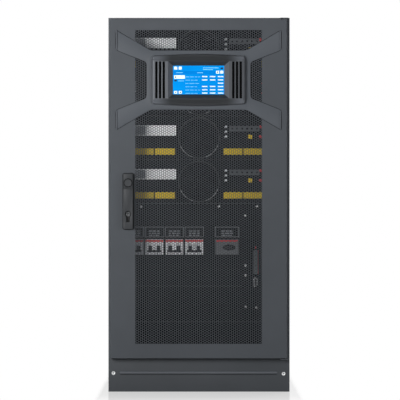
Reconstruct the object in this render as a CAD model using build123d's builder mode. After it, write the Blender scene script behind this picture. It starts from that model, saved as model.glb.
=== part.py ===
from build123d import *
from math import cos, radians, sin
import os

# Modular UPS cabinet in millimetres.
# +Z is up and the door faces -Y. The origin lies on the floor, under the middle of the floor pan.

os.makedirs("parts", exist_ok=True)

# Cabinet envelope: the depth runs from the door's face to the rear panel.
cabinet_width = 550
cabinet_depth = 770
cabinet_height = 1135
plinth_height = 103
roof_skirt = 26
sheet = 1.5
frame_sheet = 2
panel_flange = 15
panel_gap = 1

# Door tray with its reveals to the cabinet's outline.
door_depth = 30
door_air_gap = 8
left_reveal = 5.7
right_reveal = 8.4
top_reveal = 6
door_edge_radius = 3
door_lip = 14

# Perforated field of the door, measured in from the tray's edges.
field_side_margin = 76.3
field_bottom_margin = 43.5
field_top_margin = 32.5
hex_pitch = 58
hex_open = 48

# Display on the door.
display_drop = 184
surround_half_width = 157.5
surround_half_height = 89.75
surround_reach = 250
arm_outer = 151
arm_inner = 91
arm_root = 54.5
surround_thickness = 1.5
lip_width = 4.5
bezel_width = 285
bezel_height = 146
bezel_crown = 6.5
bezel_depth = 18.5
bezel_draft = 8
bezel_corner = 12
band_margin = 2
band_drop = 9
screen_width = 155
screen_height = 87
funnel_flare = 12.7
funnel_depth = 14
screen_lap = 2
screen_clearance = 0.3
grille_slot_count = 3
grille_slot_width = 6.4
grille_slot_pitch = 11
grille_slot_depth = 5
rear_box_width = 220
rear_box_height = 130
rear_box_depth = 18

# Swing handle.
handle_inset = 54.8
handle_drop = 495.2
escutcheon_width = 37
escutcheon_height = 172
escutcheon_thickness = 4
escutcheon_corner = 6
escutcheon_rise = 30.2
grip_width = 29.2
grip_thickness = 11.5
head_rise = 28
head_fall = 15
head_corner = 4
lift_drop = 22
grip_length = 118
grip_float = 3.5
hub_radius = 8
running_gap = 0.05
plain_sides = 12
cap_radius = 13.6
cap_height = 1
lift_pin_radius = 3
tongue_radius = 4
neck_front = 1
tongue_width = 12
tongue_gap = 0.8
swing_gap = 1.25
lever_rise = 4
lever_web = 1.2
lock_drop = 94.8
lock_radius = 8.2
lock_stem_width = 8
lock_stem_length = 22
lock_stand = 2.5
lock_window_gap = 1.2

# Door pivots.
pivot_inset = 8
pivot_setback = 15
pivot_radius = 4
pivot_length = 18
pivot_plate = 3
pivot_gap = 2.5
pivot_plate_width = 24
pivot_hole_gap = 1
bush_height = 20

# Frame inside the cabinet.
rack_setback = 57
rack_margin = 33.7
rail_width = 46.5
post_depth = 95
rear_post_depth = 80

# Power modules.
module_count = 4
module_pitch = 133.35
module_headroom = 28.1
module_seam = 1.4
module_side_gap = 5
module_rear_gap = 121.5
runner_leg = 40
runner_shelf = 22
runner_lift = 1

# Fans in the modules.
duct_radius = 58
duct_depth = 45
motor_radius = 18
motor_height = 8
shaft_radius = 4
shaft_length = 30
rotor_gap = 1
rotor_hub_radius = 20
rotor_hub_length = 32
blade_count = 7
blade_tip_gap = 5
blade_root_chord = 15
blade_tip_chord = 27
blade_thickness = 2
blade_pitch = 35
guard_width = 2.5
guard_lap = 1
guard_ring_step = 26
guard_rings = 2
fan_sides = 16

# Fittings on the module fascias, placed from the fan's centre.
name_plate_width = 136
name_plate_height = 32
name_plate_edge = 70
name_plate_rise = 22
plate_thickness = 1
status_bar_width = 92
status_bar_height = 17
status_bar_edge = 93
status_bar_rise = 27.5
button_count = 3
button_edge = 82
button_width = 9
button_height = 7
button_stand = 4
button_rise = 3
button_pitch = 15
button_chamfer = 2

# Distribution panel with its switches.
panel_height = 251
panel_seam = 1
window_gap = 0.5
breaker_count = 4
breaker_rail_gap = 1
breaker_gap = 6.85
breaker_width = 54
breaker_rise = 118.5
nose_height = 45
nose_stand = 6
switch_body_height = 85
switch_body_depth = 45
bypass_gap = 37.95
bypass_width = 70
toggle_depth = 7
toggle_rest = 45
toggle_pin_radius = 1.5
toggle_hub_radius = 4
toggle_reach = 18
toggle_thickness = 5
toggle_width = 11
toggle_offset = 12.5
toggle_side_gap = 1
toggle_slot_half = 12
toggle_slot_depth = 16
tie_bar = 6
tie_bar_width = 44
bypass_toggle_width = 28

# Interface plate and lower covers.
interface_margin = 26.3
interface_width = 85
interface_fall = 80
interface_height = 309
terminal_width = 12
terminal_rise = 116
terminal_height = 73
terminal_depth = 12
terminal_poles = 7
terminal_groove = 1.2
terminal_groove_depth = 4
port_width = 10.5
port_rise = 77
port_height = 29
port_depth = 7
port_slant = 3
cover_seam = 1

# Openings and ribs in the outer panels.
cable_cut_width = 300
cable_cut_depth = 100
cable_cut_back = 85
vent_columns = 2
vent_rows = 9
vent_width = 170
vent_height = 14
vent_pitch_x = 210
vent_pitch_z = 52
vent_top_margin = 60
plinth_corner = 4
rib_height = 6
rib_stand = 2
rib_inset = 34
rib_level = 56

# Positions that follow from the sizes above.
half_width = cabinet_width / 2
door_front = -cabinet_depth / 2
door_back = door_front + door_depth
body_front = door_back + door_air_gap
body_rear = cabinet_depth / 2
skin_half = half_width - sheet
front_inner = body_front + sheet
rear_inner = body_rear - sheet
panel_top = cabinet_height - roof_skirt
roof_inner = cabinet_height - sheet
rail_front = body_front + rack_setback
rail_back = rail_front + frame_sheet
fascia_front = rail_front - frame_sheet
rear_rail_front = rear_inner - frame_sheet
post_web = skin_half - frame_sheet
rail_inner = post_web - rail_width
rack_width = cabinet_width - 2 * rack_margin
module_bay_bottom = roof_inner - module_headroom - module_count * module_pitch
panel_bottom = module_bay_bottom - panel_seam - panel_height

door_left = -half_width + left_reveal
door_right = half_width - right_reveal
door_bottom = plinth_height
door_top = cabinet_height - top_reveal
door_middle = (door_left + door_right) / 2
field_left = door_left + field_side_margin
field_right = door_right - field_side_margin
field_bottom = door_bottom + field_bottom_margin
field_top = door_top - field_top_margin
field_level = (field_bottom + field_top) / 2
field_width = field_right - field_left
field_height = field_top - field_bottom
display_level = door_top - display_drop
handle_turn_height = door_top - handle_drop


def front_plane(x, y, z):
    return Plane(origin=(x, y, z), x_dir=(1, 0, 0), z_dir=(0, -1, 0))


def fan_level(index):
    return module_bay_bottom + (index + 0.5) * module_pitch


# Plinth: floor pan, skirts and the screwed cover in front.
pan_length = rear_inner - front_inner
pan_middle = (rear_inner + front_inner) / 2
cable_cut_middle = rear_inner - cable_cut_back - cable_cut_depth / 2

with BuildPart() as floor_pan:
    with BuildSketch(Plane.XY):
        with Locations((0, pan_middle)):
            Rectangle(2 * skin_half, pan_length)
        with Locations((0, cable_cut_middle)):
            Rectangle(cable_cut_width, cable_cut_depth, mode=Mode.SUBTRACT)
    extrude(amount=frame_sheet)
floor_pan.part.label = "floor_pan"
export_step(floor_pan.part, "parts/floor_pan.step")

with BuildPart() as plinth_sides:
    with BuildSketch(Plane.XY):
        with Locations((-half_width + sheet / 2, 0), (half_width - sheet / 2, 0)):
            with Locations((0, (front_inner + body_rear) / 2)):
                Rectangle(sheet, body_rear - front_inner)
    extrude(amount=plinth_height)
plinth_sides.part.label = "plinth_sides"
export_step(plinth_sides.part, "parts/plinth_sides.step")

with BuildPart() as plinth_rear:
    with BuildSketch(Plane.XY):
        with Locations((0, body_rear - sheet / 2)):
            Rectangle(2 * skin_half, sheet)
    extrude(amount=plinth_height)
plinth_rear.part.label = "plinth_rear"
export_step(plinth_rear.part, "parts/plinth_rear.step")

with BuildPart() as plinth_cover:
    with BuildSketch(front_plane(0, front_inner, 0)) as cover_outline:
        Rectangle(cabinet_width, plinth_height, align=(Align.CENTER, Align.MIN))
        fillet(cover_outline.vertices().group_by(Axis.Z)[0], plinth_corner)
    extrude(amount=sheet)
    with BuildSketch(front_plane(0, body_front, rib_level)) as rib_outline:
        Rectangle(cabinet_width - 2 * rib_inset, rib_height)
        chamfer(rib_outline.vertices(), rib_height / 3)
    extrude(amount=rib_stand)
plinth_cover.part.label = "plinth_cover"
export_step(plinth_cover.part, "parts/plinth_cover.step")

# Side panels folded front and rear, standing on the plinth.
for side, side_name in ((-1, "left_side_panel"), (1, "right_side_panel")):
    with BuildPart() as side_panel:
        with BuildSketch(Plane.XY.offset(plinth_height)):
            with Locations((side * (half_width - panel_flange / 2), (body_front + body_rear) / 2)):
                Rectangle(panel_flange, body_rear - body_front)
            with Locations((side * (skin_half - panel_flange / 2), (front_inner + rear_inner) / 2)):
                Rectangle(panel_flange, rear_inner - front_inner, mode=Mode.SUBTRACT)
        extrude(amount=panel_top - plinth_height)
    side_panel.part.label = side_name
    export_step(side_panel.part, "parts/" + side_name + ".step")

# Rear panel between the folded flanges, slotted behind the modules.
rear_half = half_width - panel_flange - panel_gap
vent_middle = panel_top - vent_top_margin - (vent_rows - 1) * vent_pitch_z / 2

with BuildPart() as rear_panel:
    with BuildSketch(front_plane(0, body_rear, 0)):
        with Locations((0, (plinth_height + panel_top) / 2)):
            Rectangle(2 * rear_half, panel_top - plinth_height)
        with Locations((0, vent_middle)):
            with GridLocations(vent_pitch_x, vent_pitch_z, vent_columns, vent_rows):
                Rectangle(vent_width, vent_height, mode=Mode.SUBTRACT)
    extrude(amount=sheet)
rear_panel.part.label = "rear_panel"
export_step(rear_panel.part, "parts/rear_panel.step")

# Roof cover: a pan turned over the side panels.
with BuildPart() as roof_cover:
    with BuildSketch(Plane.XY.offset(panel_top)):
        with Locations((0, (body_front + body_rear) / 2)):
            Rectangle(cabinet_width, body_rear - body_front)
    extrude(amount=roof_skirt)
    with BuildSketch(Plane.XY.offset(panel_top)):
        with Locations((0, (front_inner + rear_inner) / 2)):
            Rectangle(2 * skin_half, rear_inner - front_inner)
    extrude(amount=roof_skirt - sheet, mode=Mode.SUBTRACT)
roof_cover.part.label = "roof_cover"
export_step(roof_cover.part, "parts/roof_cover.step")

# Posts on the floor pan: front ones carry the rack rails.
post_height = roof_inner - frame_sheet

with BuildPart() as front_posts:
    with BuildSketch(Plane.XY.offset(frame_sheet)):
        with Locations((-skin_half + frame_sheet / 2, 0), (skin_half - frame_sheet / 2, 0)):
            with Locations((0, front_inner + post_depth / 2)):
                Rectangle(frame_sheet, post_depth)
        with Locations((-rail_inner - rail_width / 2, 0), (rail_inner + rail_width / 2, 0)):
            with Locations((0, rail_front + frame_sheet / 2)):
                Rectangle(rail_width, frame_sheet)
    extrude(amount=post_height)
front_posts.part.label = "front_posts"
export_step(front_posts.part, "parts/front_posts.step")

with BuildPart() as rear_posts:
    with BuildSketch(Plane.XY.offset(frame_sheet)):
        with Locations((-skin_half + frame_sheet / 2, 0), (skin_half - frame_sheet / 2, 0)):
            with Locations((0, rear_inner - rear_post_depth / 2)):
                Rectangle(frame_sheet, rear_post_depth)
        with Locations((-rail_inner - rail_width / 2, 0), (rail_inner + rail_width / 2, 0)):
            with Locations((0, rear_rail_front + frame_sheet / 2)):
                Rectangle(rail_width, frame_sheet)
    extrude(amount=post_height)
rear_posts.part.label = "rear_posts"
export_step(rear_posts.part, "parts/rear_posts.step")

# Runners from rail to rail, one pair under each module.
runner_length = rear_rail_front - rail_back
runner_middle = (rear_rail_front + rail_back) / 2

with BuildPart() as module_runners:
    for index in range(module_count):
        shelf_level = module_bay_bottom + index * module_pitch + runner_lift
        for side in (-1, 1):
            with Locations((side * (rail_inner + frame_sheet / 2), runner_middle, shelf_level)):
                Box(frame_sheet, runner_length, runner_leg, align=(Align.CENTER, Align.CENTER, Align.MIN))
            with Locations((side * (rail_inner - runner_shelf / 2), runner_middle, shelf_level)):
                Box(runner_shelf, runner_length, frame_sheet, align=(Align.CENTER, Align.CENTER, Align.MIN))
module_runners.part.label = "module_runners"
export_step(module_runners.part, "parts/module_runners.step")

# Power modules: fascia on the rails, closed chassis on the runners, fan duct in front.
duct_floor = fascia_front + duct_depth
motor_front = duct_floor - motor_height
rotor_back = motor_front - rotor_gap
chassis_bottom = runner_lift + frame_sheet
module_width = 2 * (rail_inner - module_side_gap)
module_depth = rear_rail_front - rail_front - module_rear_gap

for index in range(module_count):
    bay = module_bay_bottom + index * module_pitch
    level = fan_level(index)
    with BuildPart() as power_module:
        with BuildSketch(front_plane(0, rail_front, level)):
            Rectangle(rack_width, module_pitch - module_seam)
        extrude(amount=frame_sheet)
        with BuildSketch(front_plane(0, rail_front, bay + chassis_bottom)):
            Rectangle(module_width, module_pitch - 2 * chassis_bottom, align=(Align.CENTER, Align.MIN))
        extrude(amount=-module_depth)
        with BuildSketch(front_plane(0, fascia_front, level)):
            RegularPolygon(duct_radius, fan_sides, major_radius=False)
        extrude(amount=-duct_depth, mode=Mode.SUBTRACT)
        with BuildSketch(front_plane(0, duct_floor, level)):
            RegularPolygon(motor_radius, fan_sides)
        extrude(amount=motor_height)
        with BuildSketch(front_plane(0, motor_front, level)):
            Circle(shaft_radius)
        extrude(amount=shaft_length)
    module_name = "power_module_" + str(index + 1)
    power_module.part.label = module_name
    export_step(power_module.part, "parts/" + module_name + ".step")

# Fan rotors: a hub on the motor shaft with pitched blades.
blade_middle = rotor_back - rotor_hub_length / 2
blade_tip = duct_radius - blade_tip_gap
blade_root = rotor_hub_radius - blade_thickness

for index in range(module_count):
    level = fan_level(index)
    with BuildPart() as fan_rotor:
        with BuildSketch(front_plane(0, rotor_back, level)):
            RegularPolygon(rotor_hub_radius, fan_sides)
        extrude(amount=rotor_hub_length)
        for spoke in range(blade_count):
            turn = radians(spoke * 360 / blade_count)
            tilt = radians(blade_pitch)
            blade_plane = Plane(
                origin=(0, blade_middle, level),
                x_dir=(cos(turn), 0, sin(turn)),
                z_dir=(sin(tilt) * sin(turn), -cos(tilt), -sin(tilt) * cos(turn)),
            )
            with BuildSketch(blade_plane):
                Polygon(
                    (blade_root, -blade_root_chord / 2),
                    (blade_tip, -blade_tip_chord / 2),
                    (blade_tip, blade_tip_chord / 2),
                    (blade_root, blade_root_chord / 2),
                    align=None,
                )
            extrude(amount=blade_thickness / 2, both=True)
        with BuildSketch(front_plane(0, rotor_back, level)):
            RegularPolygon(shaft_radius + running_gap, plain_sides, major_radius=False)
        extrude(amount=shaft_length, mode=Mode.SUBTRACT)
    rotor_name = "fan_rotor_" + str(index + 1)
    fan_rotor.part.label = rotor_name
    export_step(fan_rotor.part, "parts/" + rotor_name + ".step")

# Fan guards: rings joined by crossing wires, lying on the fascias.
guard_outer = duct_radius + guard_width + guard_lap

with BuildPart() as fan_guards:
    for index in range(module_count):
        with BuildSketch(front_plane(0, fascia_front, fan_level(index))):
            for ring in range(guard_rings):
                ring_radius = guard_outer - ring * guard_ring_step
                RegularPolygon(ring_radius, fan_sides)
                RegularPolygon(ring_radius - guard_width, fan_sides, mode=Mode.SUBTRACT)
            for turn in (45, 135):
                Rectangle(2 * guard_outer - guard_width, guard_width, rotation=turn)
        extrude(amount=guard_width)
fan_guards.part.label = "fan_guards"
export_step(fan_guards.part, "parts/fan_guards.step")

# Name plates, status bars and buttons on the fascias.
with BuildPart() as module_name_plates:
    for index in range(module_count):
        plate_x = -name_plate_edge - name_plate_width / 2
        with BuildSketch(front_plane(plate_x, fascia_front, fan_level(index) + name_plate_rise)):
            Rectangle(name_plate_width, name_plate_height)
        extrude(amount=plate_thickness)
module_name_plates.part.label = "module_name_plates"
export_step(module_name_plates.part, "parts/module_name_plates.step")

with BuildPart() as module_status_bars:
    for index in range(module_count):
        bar_x = status_bar_edge + status_bar_width / 2
        with BuildSketch(front_plane(bar_x, fascia_front, fan_level(index) + status_bar_rise)):
            Rectangle(status_bar_width, status_bar_height)
        extrude(amount=plate_thickness)
module_status_bars.part.label = "module_status_bars"
export_step(module_status_bars.part, "parts/module_status_bars.step")

with BuildPart() as module_buttons:
    for index in range(module_count):
        for step in range(button_count):
            button_level = fan_level(index) + button_rise + step * button_pitch
            with BuildSketch(front_plane(button_edge, fascia_front, button_level)) as button_outline:
                Rectangle(button_width, button_height)
                chamfer(button_outline.vertices(), button_chamfer)
            extrude(amount=button_stand)
module_buttons.part.label = "module_buttons"
export_step(module_buttons.part, "parts/module_buttons.step")

# Distribution panel with windows for the switch noses.
panel_top_edge = module_bay_bottom - panel_seam
breaker_centre_height = panel_bottom + breaker_rise
breaker_first = -rail_inner + breaker_rail_gap + breaker_width / 2
breaker_pitch = breaker_width + breaker_gap
breaker_centres = [breaker_first + step * breaker_pitch for step in range(breaker_count)]
bypass_centre = breaker_centres[-1] + breaker_width / 2 + bypass_gap + bypass_width / 2

with BuildPart() as distribution_panel:
    with BuildSketch(front_plane(0, rail_front, 0)):
        with Locations((0, (panel_bottom + panel_top_edge) / 2)):
            Rectangle(rack_width, panel_top_edge - panel_bottom)
        with Locations(*[(centre, breaker_centre_height) for centre in breaker_centres]):
            Rectangle(breaker_width + 2 * window_gap, nose_height + 2 * window_gap, mode=Mode.SUBTRACT)
        with Locations((bypass_centre, breaker_centre_height)):
            Rectangle(bypass_width + 2 * window_gap, nose_height + 2 * window_gap, mode=Mode.SUBTRACT)
    extrude(amount=frame_sheet)
distribution_panel.part.label = "distribution_panel"
export_step(distribution_panel.part, "parts/distribution_panel.step")

nose_front = fascia_front - nose_stand
toggle_axis = nose_front + toggle_depth


def build_switch(body_name, lever_name, centre, width, paddles, paddle_width, tie_width):
    with BuildPart() as switch_body:
        with BuildSketch(front_plane(centre, rail_front, breaker_centre_height)):
            Rectangle(width, nose_height)
        extrude(amount=rail_front - nose_front)
        with BuildSketch(front_plane(centre, rail_front, breaker_centre_height)):
            Rectangle(width, switch_body_height)
        extrude(amount=-switch_body_depth)
        slot_width = paddle_width + 2 * toggle_side_gap
        for paddle in paddles:
            with BuildSketch(front_plane(centre + paddle, nose_front, breaker_centre_height)):
                Rectangle(slot_width, 2 * toggle_slot_half)
            extrude(amount=-toggle_slot_depth, mode=Mode.SUBTRACT)
            pin_plane = Plane(origin=(centre + paddle, toggle_axis, breaker_centre_height), z_dir=(1, 0, 0))
            with BuildSketch(pin_plane):
                RegularPolygon(toggle_pin_radius, plain_sides)
            extrude(amount=slot_width / 2 + toggle_side_gap, both=True)
    switch_body.part.label = body_name
    export_step(switch_body.part, "parts/" + body_name + ".step")

    with BuildPart() as switch_lever:
        for paddle in paddles:
            axis_plane = Plane(
                origin=(centre + paddle, toggle_axis, breaker_centre_height),
                x_dir=(0, -cos(radians(toggle_rest)), -sin(radians(toggle_rest))),
                z_dir=(-1, 0, 0),
            )
            with BuildSketch(axis_plane):
                Circle(toggle_hub_radius)
                Rectangle(toggle_reach, toggle_thickness, align=(Align.MIN, Align.CENTER))
                RegularPolygon(
                    toggle_pin_radius + running_gap,
                    plain_sides,
                    major_radius=False,
                    mode=Mode.SUBTRACT,
                )
            extrude(amount=paddle_width / 2, both=True)
        tie_plane = Plane(
            origin=(centre, toggle_axis, breaker_centre_height),
            x_dir=(0, -cos(radians(toggle_rest)), -sin(radians(toggle_rest))),
            z_dir=(-1, 0, 0),
        )
        with BuildSketch(tie_plane):
            with Locations((toggle_reach, 0)):
                Rectangle(tie_bar, tie_bar)
        extrude(amount=tie_width / 2, both=True)
    switch_lever.part.label = lever_name
    export_step(switch_lever.part, "parts/" + lever_name + ".step")


for step, breaker_centre in enumerate(breaker_centres):
    build_switch(
        "breaker_" + str(step + 1),
        "breaker_lever_" + str(step + 1),
        breaker_centre,
        breaker_width,
        (-toggle_offset, toggle_offset),
        toggle_width,
        tie_bar_width,
    )
build_switch(
    "bypass_switch",
    "bypass_lever",
    bypass_centre,
    bypass_width,
    (0,),
    bypass_toggle_width,
    bypass_toggle_width,
)

# Interface plate with the terminal strip and the serial port.
interface_front = fascia_front - frame_sheet
interface_centre = rack_width / 2 - interface_margin - interface_width / 2
interface_bottom = panel_bottom - interface_fall

with BuildPart() as interface_plate:
    with BuildSketch(front_plane(interface_centre, fascia_front, interface_bottom)):
        Rectangle(interface_width, interface_height, align=(Align.CENTER, Align.MIN))
    extrude(amount=frame_sheet)
interface_plate.part.label = "interface_plate"
export_step(interface_plate.part, "parts/interface_plate.step")

terminal_level = interface_bottom + terminal_rise + terminal_height / 2

with BuildPart() as terminal_strip:
    with BuildSketch(front_plane(interface_centre, interface_front, interface_bottom + terminal_rise)):
        Rectangle(terminal_width, terminal_height, align=(Align.CENTER, Align.MIN))
    extrude(amount=terminal_depth)
    with BuildSketch(front_plane(interface_centre, interface_front - terminal_depth, terminal_level)):
        with GridLocations(0, terminal_height / terminal_poles, 1, terminal_poles - 1):
            Rectangle(terminal_width, terminal_groove)
    extrude(amount=-terminal_groove_depth, mode=Mode.SUBTRACT)
terminal_strip.part.label = "terminal_strip"
export_step(terminal_strip.part, "parts/terminal_strip.step")

with BuildPart() as serial_port:
    with BuildSketch(front_plane(interface_centre, interface_front, interface_bottom + port_rise)):
        Polygon(
            (-port_width / 2, 0),
            (port_width / 2, port_slant),
            (port_width / 2, port_height - port_slant),
            (-port_width / 2, port_height),
            align=None,
        )
    extrude(amount=port_depth)
serial_port.part.label = "serial_port"
export_step(serial_port.part, "parts/serial_port.step")

upper_cover_top = panel_bottom - panel_seam
cover_split = (plinth_height + upper_cover_top) / 2

with BuildPart() as lower_covers:
    for low, high in ((plinth_height, cover_split - cover_seam), (cover_split, upper_cover_top)):
        with BuildSketch(front_plane(0, rail_front, low)):
            Rectangle(rack_width, high - low, align=(Align.CENTER, Align.MIN))
        extrude(amount=frame_sheet)
lower_covers.part.label = "lower_covers"
export_step(lower_covers.part, "parts/lower_covers.step")

# Pivot brackets with the pins the door turns on.
pivot_x = door_right - pivot_inset
pivot_y = door_front + pivot_setback
bracket_front = pivot_y - pivot_radius - pivot_plate

with BuildPart() as pivot_brackets:
    for edge, outward in ((door_bottom, -1), (door_top, 1)):
        arm_level = edge + outward * (pivot_gap + pivot_plate / 2)
        with Locations((pivot_x, (bracket_front + body_front) / 2, arm_level)):
            Box(pivot_plate_width, body_front - bracket_front, pivot_plate)
        with Locations((pivot_x, pivot_y, edge + outward * pivot_gap - outward * pivot_length / 2)):
            Cylinder(pivot_radius, pivot_length)
pivot_brackets.part.label = "pivot_brackets"
export_step(pivot_brackets.part, "parts/pivot_brackets.step")

# Door tray: folded sheet with the aperture of the perforated field.
door_width = door_right - door_left
door_height = door_top - door_bottom
door_level = (door_bottom + door_top) / 2

with BuildPart() as door_skin:
    with BuildSketch(Plane.XY.offset(door_bottom)) as tray_outline:
        with Locations((door_middle, (door_front + door_back) / 2)):
            Rectangle(door_width, door_depth)
        fillet(tray_outline.vertices().group_by(Axis.Y)[0], door_edge_radius)
    extrude(amount=door_height)
    with BuildSketch(front_plane(door_middle, door_back - sheet, door_level)):
        Rectangle(door_width - 2 * sheet, door_height - 2 * sheet)
    extrude(amount=door_depth - 2 * sheet, mode=Mode.SUBTRACT)
    with BuildSketch(front_plane(door_middle, door_back, door_level)):
        Rectangle(door_width - 2 * door_lip, door_height - 2 * door_lip)
    extrude(amount=sheet, mode=Mode.SUBTRACT)
    with BuildSketch(front_plane(door_middle, door_back, field_level)):
        Rectangle(field_width, field_height)
    extrude(amount=door_depth, mode=Mode.SUBTRACT)
    with BuildSketch(Plane.XY.offset(door_bottom)):
        with Locations((pivot_x, pivot_y)):
            RegularPolygon(pivot_radius + pivot_hole_gap, plain_sides)
    extrude(amount=door_height, mode=Mode.SUBTRACT)
door_skin.part.label = "door_skin"
export_step(door_skin.part, "parts/door_skin.step")

# Perforated sheet with staggered hexagonal holes, closed behind the display.
hex_column_step = hex_pitch * 3**0.5 / 2
hex_columns = int((field_width - hex_open) / hex_column_step) + 1
hex_rows = int((field_height - hex_open - hex_pitch / 2) / hex_pitch) + 1
hex_points = []
for column in range(hex_columns):
    for row in range(hex_rows):
        hex_x = (column - (hex_columns - 1) / 2) * hex_column_step
        hex_z = (row - (hex_rows - 1) / 2) * hex_pitch + (column % 2 - 0.5) * hex_pitch / 2
        behind_width = abs(hex_x) < surround_half_width - hex_open / 2
        behind_height = abs(hex_z + field_level - display_level) < surround_half_height - hex_open / 2
        if not (behind_width and behind_height):
            hex_points.append((hex_x, hex_z))

with BuildPart() as door_mesh:
    with BuildSketch(front_plane(door_middle, door_front + sheet, field_level)):
        Rectangle(field_width, field_height)
        with Locations(*hex_points):
            RegularPolygon(hex_open / 2, 6, major_radius=False, mode=Mode.SUBTRACT)
    extrude(amount=sheet)
door_mesh.part.label = "door_mesh"
export_step(door_mesh.part, "parts/door_mesh.step")

# X-shaped surround of the display, its arms ending in raised lips.
surround_front = door_front - surround_thickness
surround_corner = [
    (surround_half_width - bezel_corner, surround_half_height),
    (surround_reach, arm_outer),
    (surround_reach, arm_inner),
    (surround_half_width, arm_root),
]
surround_outline = list(surround_corner)
surround_outline += [(x, -z) for x, z in reversed(surround_corner)]
surround_outline += [(-x, -z) for x, z in surround_corner]
surround_outline += [(-x, z) for x, z in reversed(surround_corner)]

with BuildPart() as display_surround:
    with BuildSketch(front_plane(door_middle, door_front, display_level)):
        Polygon(*surround_outline, align=None)
    extrude(amount=surround_thickness)
    with BuildSketch(front_plane(door_middle, surround_front, display_level)):
        for side in (-1, 1):
            for end in (-1, 1):
                lip_level = end * (arm_inner + arm_outer) / 2
                with Locations((side * (surround_reach - lip_width / 2), lip_level)):
                    Rectangle(lip_width, arm_outer - arm_inner)
    extrude(amount=surround_thickness)
display_surround.part.label = "display_surround"
export_step(display_surround.part, "parts/display_surround.step")

# Moulded bezel: crowned outline with draft, funnel round the screen and grille slots.
bezel_front = surround_front - bezel_depth
funnel_floor = bezel_front + funnel_depth
half_bezel = bezel_width / 2
corner_level = bezel_height / 2
crown_level = corner_level + bezel_crown
band_level = screen_height / 2 + funnel_flare + band_margin
band_height = crown_level - band_level

with BuildPart() as display_bezel:
    with BuildSketch(front_plane(door_middle, surround_front, display_level)) as bezel_outline:
        with BuildLine():
            Line((-half_bezel, corner_level), (-half_bezel, -corner_level))
            ThreePointArc((-half_bezel, -corner_level), (0, -crown_level), (half_bezel, -corner_level))
            Line((half_bezel, -corner_level), (half_bezel, corner_level))
            ThreePointArc((half_bezel, corner_level), (0, crown_level), (-half_bezel, corner_level))
        make_face()
        fillet(bezel_outline.vertices(), bezel_corner)
    extrude(amount=bezel_depth, taper=bezel_draft)
    for side in (-1, 1):
        band_plane = Plane(
            origin=(door_middle, bezel_front, display_level + side * band_level),
            x_dir=(0, 1, 0),
            z_dir=(side, 0, 0),
        )
        with BuildSketch(band_plane):
            Polygon((0, 0), (0, band_height), (band_drop, band_height), align=None)
        extrude(amount=half_bezel, both=True, mode=Mode.SUBTRACT)
    with BuildSketch(front_plane(door_middle, bezel_front, display_level)):
        Rectangle(screen_width + 2 * funnel_flare, screen_height + 2 * funnel_flare)
    with BuildSketch(front_plane(door_middle, funnel_floor, display_level)):
        Rectangle(screen_width, screen_height)
    loft(mode=Mode.SUBTRACT)
    with BuildSketch(front_plane(door_middle, surround_front, display_level)):
        Rectangle(screen_width + 2 * screen_lap, screen_height + 2 * screen_lap)
    extrude(amount=bezel_depth - funnel_depth, mode=Mode.SUBTRACT)
    with BuildSketch(front_plane(door_middle, bezel_front, display_level)):
        for side in (-1, 1):
            for step in range(grille_slot_count):
                slot_x = half_bezel - 2 * grille_slot_width - step * grille_slot_pitch
                with Locations((side * slot_x, 0)):
                    Rectangle(grille_slot_width, screen_height + 2 * funnel_flare)
    extrude(amount=-grille_slot_depth, mode=Mode.SUBTRACT)
display_bezel.part.label = "display_bezel"
export_step(display_bezel.part, "parts/display_bezel.step")

glass_lap = 2 * (screen_lap - screen_clearance)

with BuildPart() as touch_screen:
    with BuildSketch(front_plane(door_middle, surround_front, display_level)):
        Rectangle(screen_width + glass_lap, screen_height + glass_lap)
    extrude(amount=bezel_depth - funnel_depth)
touch_screen.part.label = "touch_screen"
export_step(touch_screen.part, "parts/touch_screen.step")

with BuildPart() as display_rear_box:
    with BuildSketch(front_plane(door_middle, door_front + sheet, display_level)):
        Rectangle(rear_box_width, rear_box_height)
    extrude(amount=-rear_box_depth)
display_rear_box.part.label = "display_rear_box"
export_step(display_rear_box.part, "parts/display_rear_box.step")

# Bushes in the door's corners that run on the pivot pins.
bush_side = 2 * (pivot_inset - sheet)

with BuildPart() as door_bushes:
    for low in (door_bottom + sheet, door_top - sheet - bush_height):
        with BuildSketch(Plane.XY.offset(low)):
            with Locations((pivot_x, pivot_y)):
                Rectangle(bush_side, bush_side)
                RegularPolygon(
                    pivot_radius + running_gap,
                    plain_sides,
                    major_radius=False,
                    mode=Mode.SUBTRACT,
                )
        extrude(amount=bush_height)
door_bushes.part.label = "door_bushes"
export_step(door_bushes.part, "parts/door_bushes.step")

# Swing handle: escutcheon, lock cylinder, turning head and lifting lever.
handle_x = door_left + handle_inset
plate_front = door_front - escutcheon_thickness
plate_top = handle_turn_height + escutcheon_rise
plate_level = plate_top - escutcheon_height / 2
lock_level = handle_turn_height - lock_drop
grip_back = plate_front - grip_float
grip_front = grip_back - grip_thickness
lift_y = (grip_back + grip_front) / 2
lift_z = handle_turn_height - lift_drop
grip_round = grip_thickness / 2

with BuildPart() as handle_escutcheon:
    with BuildSketch(front_plane(handle_x, door_front, plate_level)):
        RectangleRounded(escutcheon_width, escutcheon_height, escutcheon_corner)
    extrude(amount=escutcheon_thickness)
    with BuildSketch(front_plane(handle_x, door_front, handle_turn_height)):
        RegularPolygon(hub_radius + running_gap, plain_sides, major_radius=False)
    extrude(amount=escutcheon_thickness, mode=Mode.SUBTRACT)
handle_escutcheon.part.label = "handle_escutcheon"
export_step(handle_escutcheon.part, "parts/handle_escutcheon.step")

with BuildPart() as lock_cylinder:
    with BuildSketch(front_plane(handle_x, plate_front, lock_level)):
        Circle(lock_radius)
        Rectangle(lock_stem_width, lock_stem_length, align=(Align.CENTER, Align.MAX))
    extrude(amount=lock_stand)
lock_cylinder.part.label = "lock_cylinder"
export_step(lock_cylinder.part, "parts/lock_cylinder.step")

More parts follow.
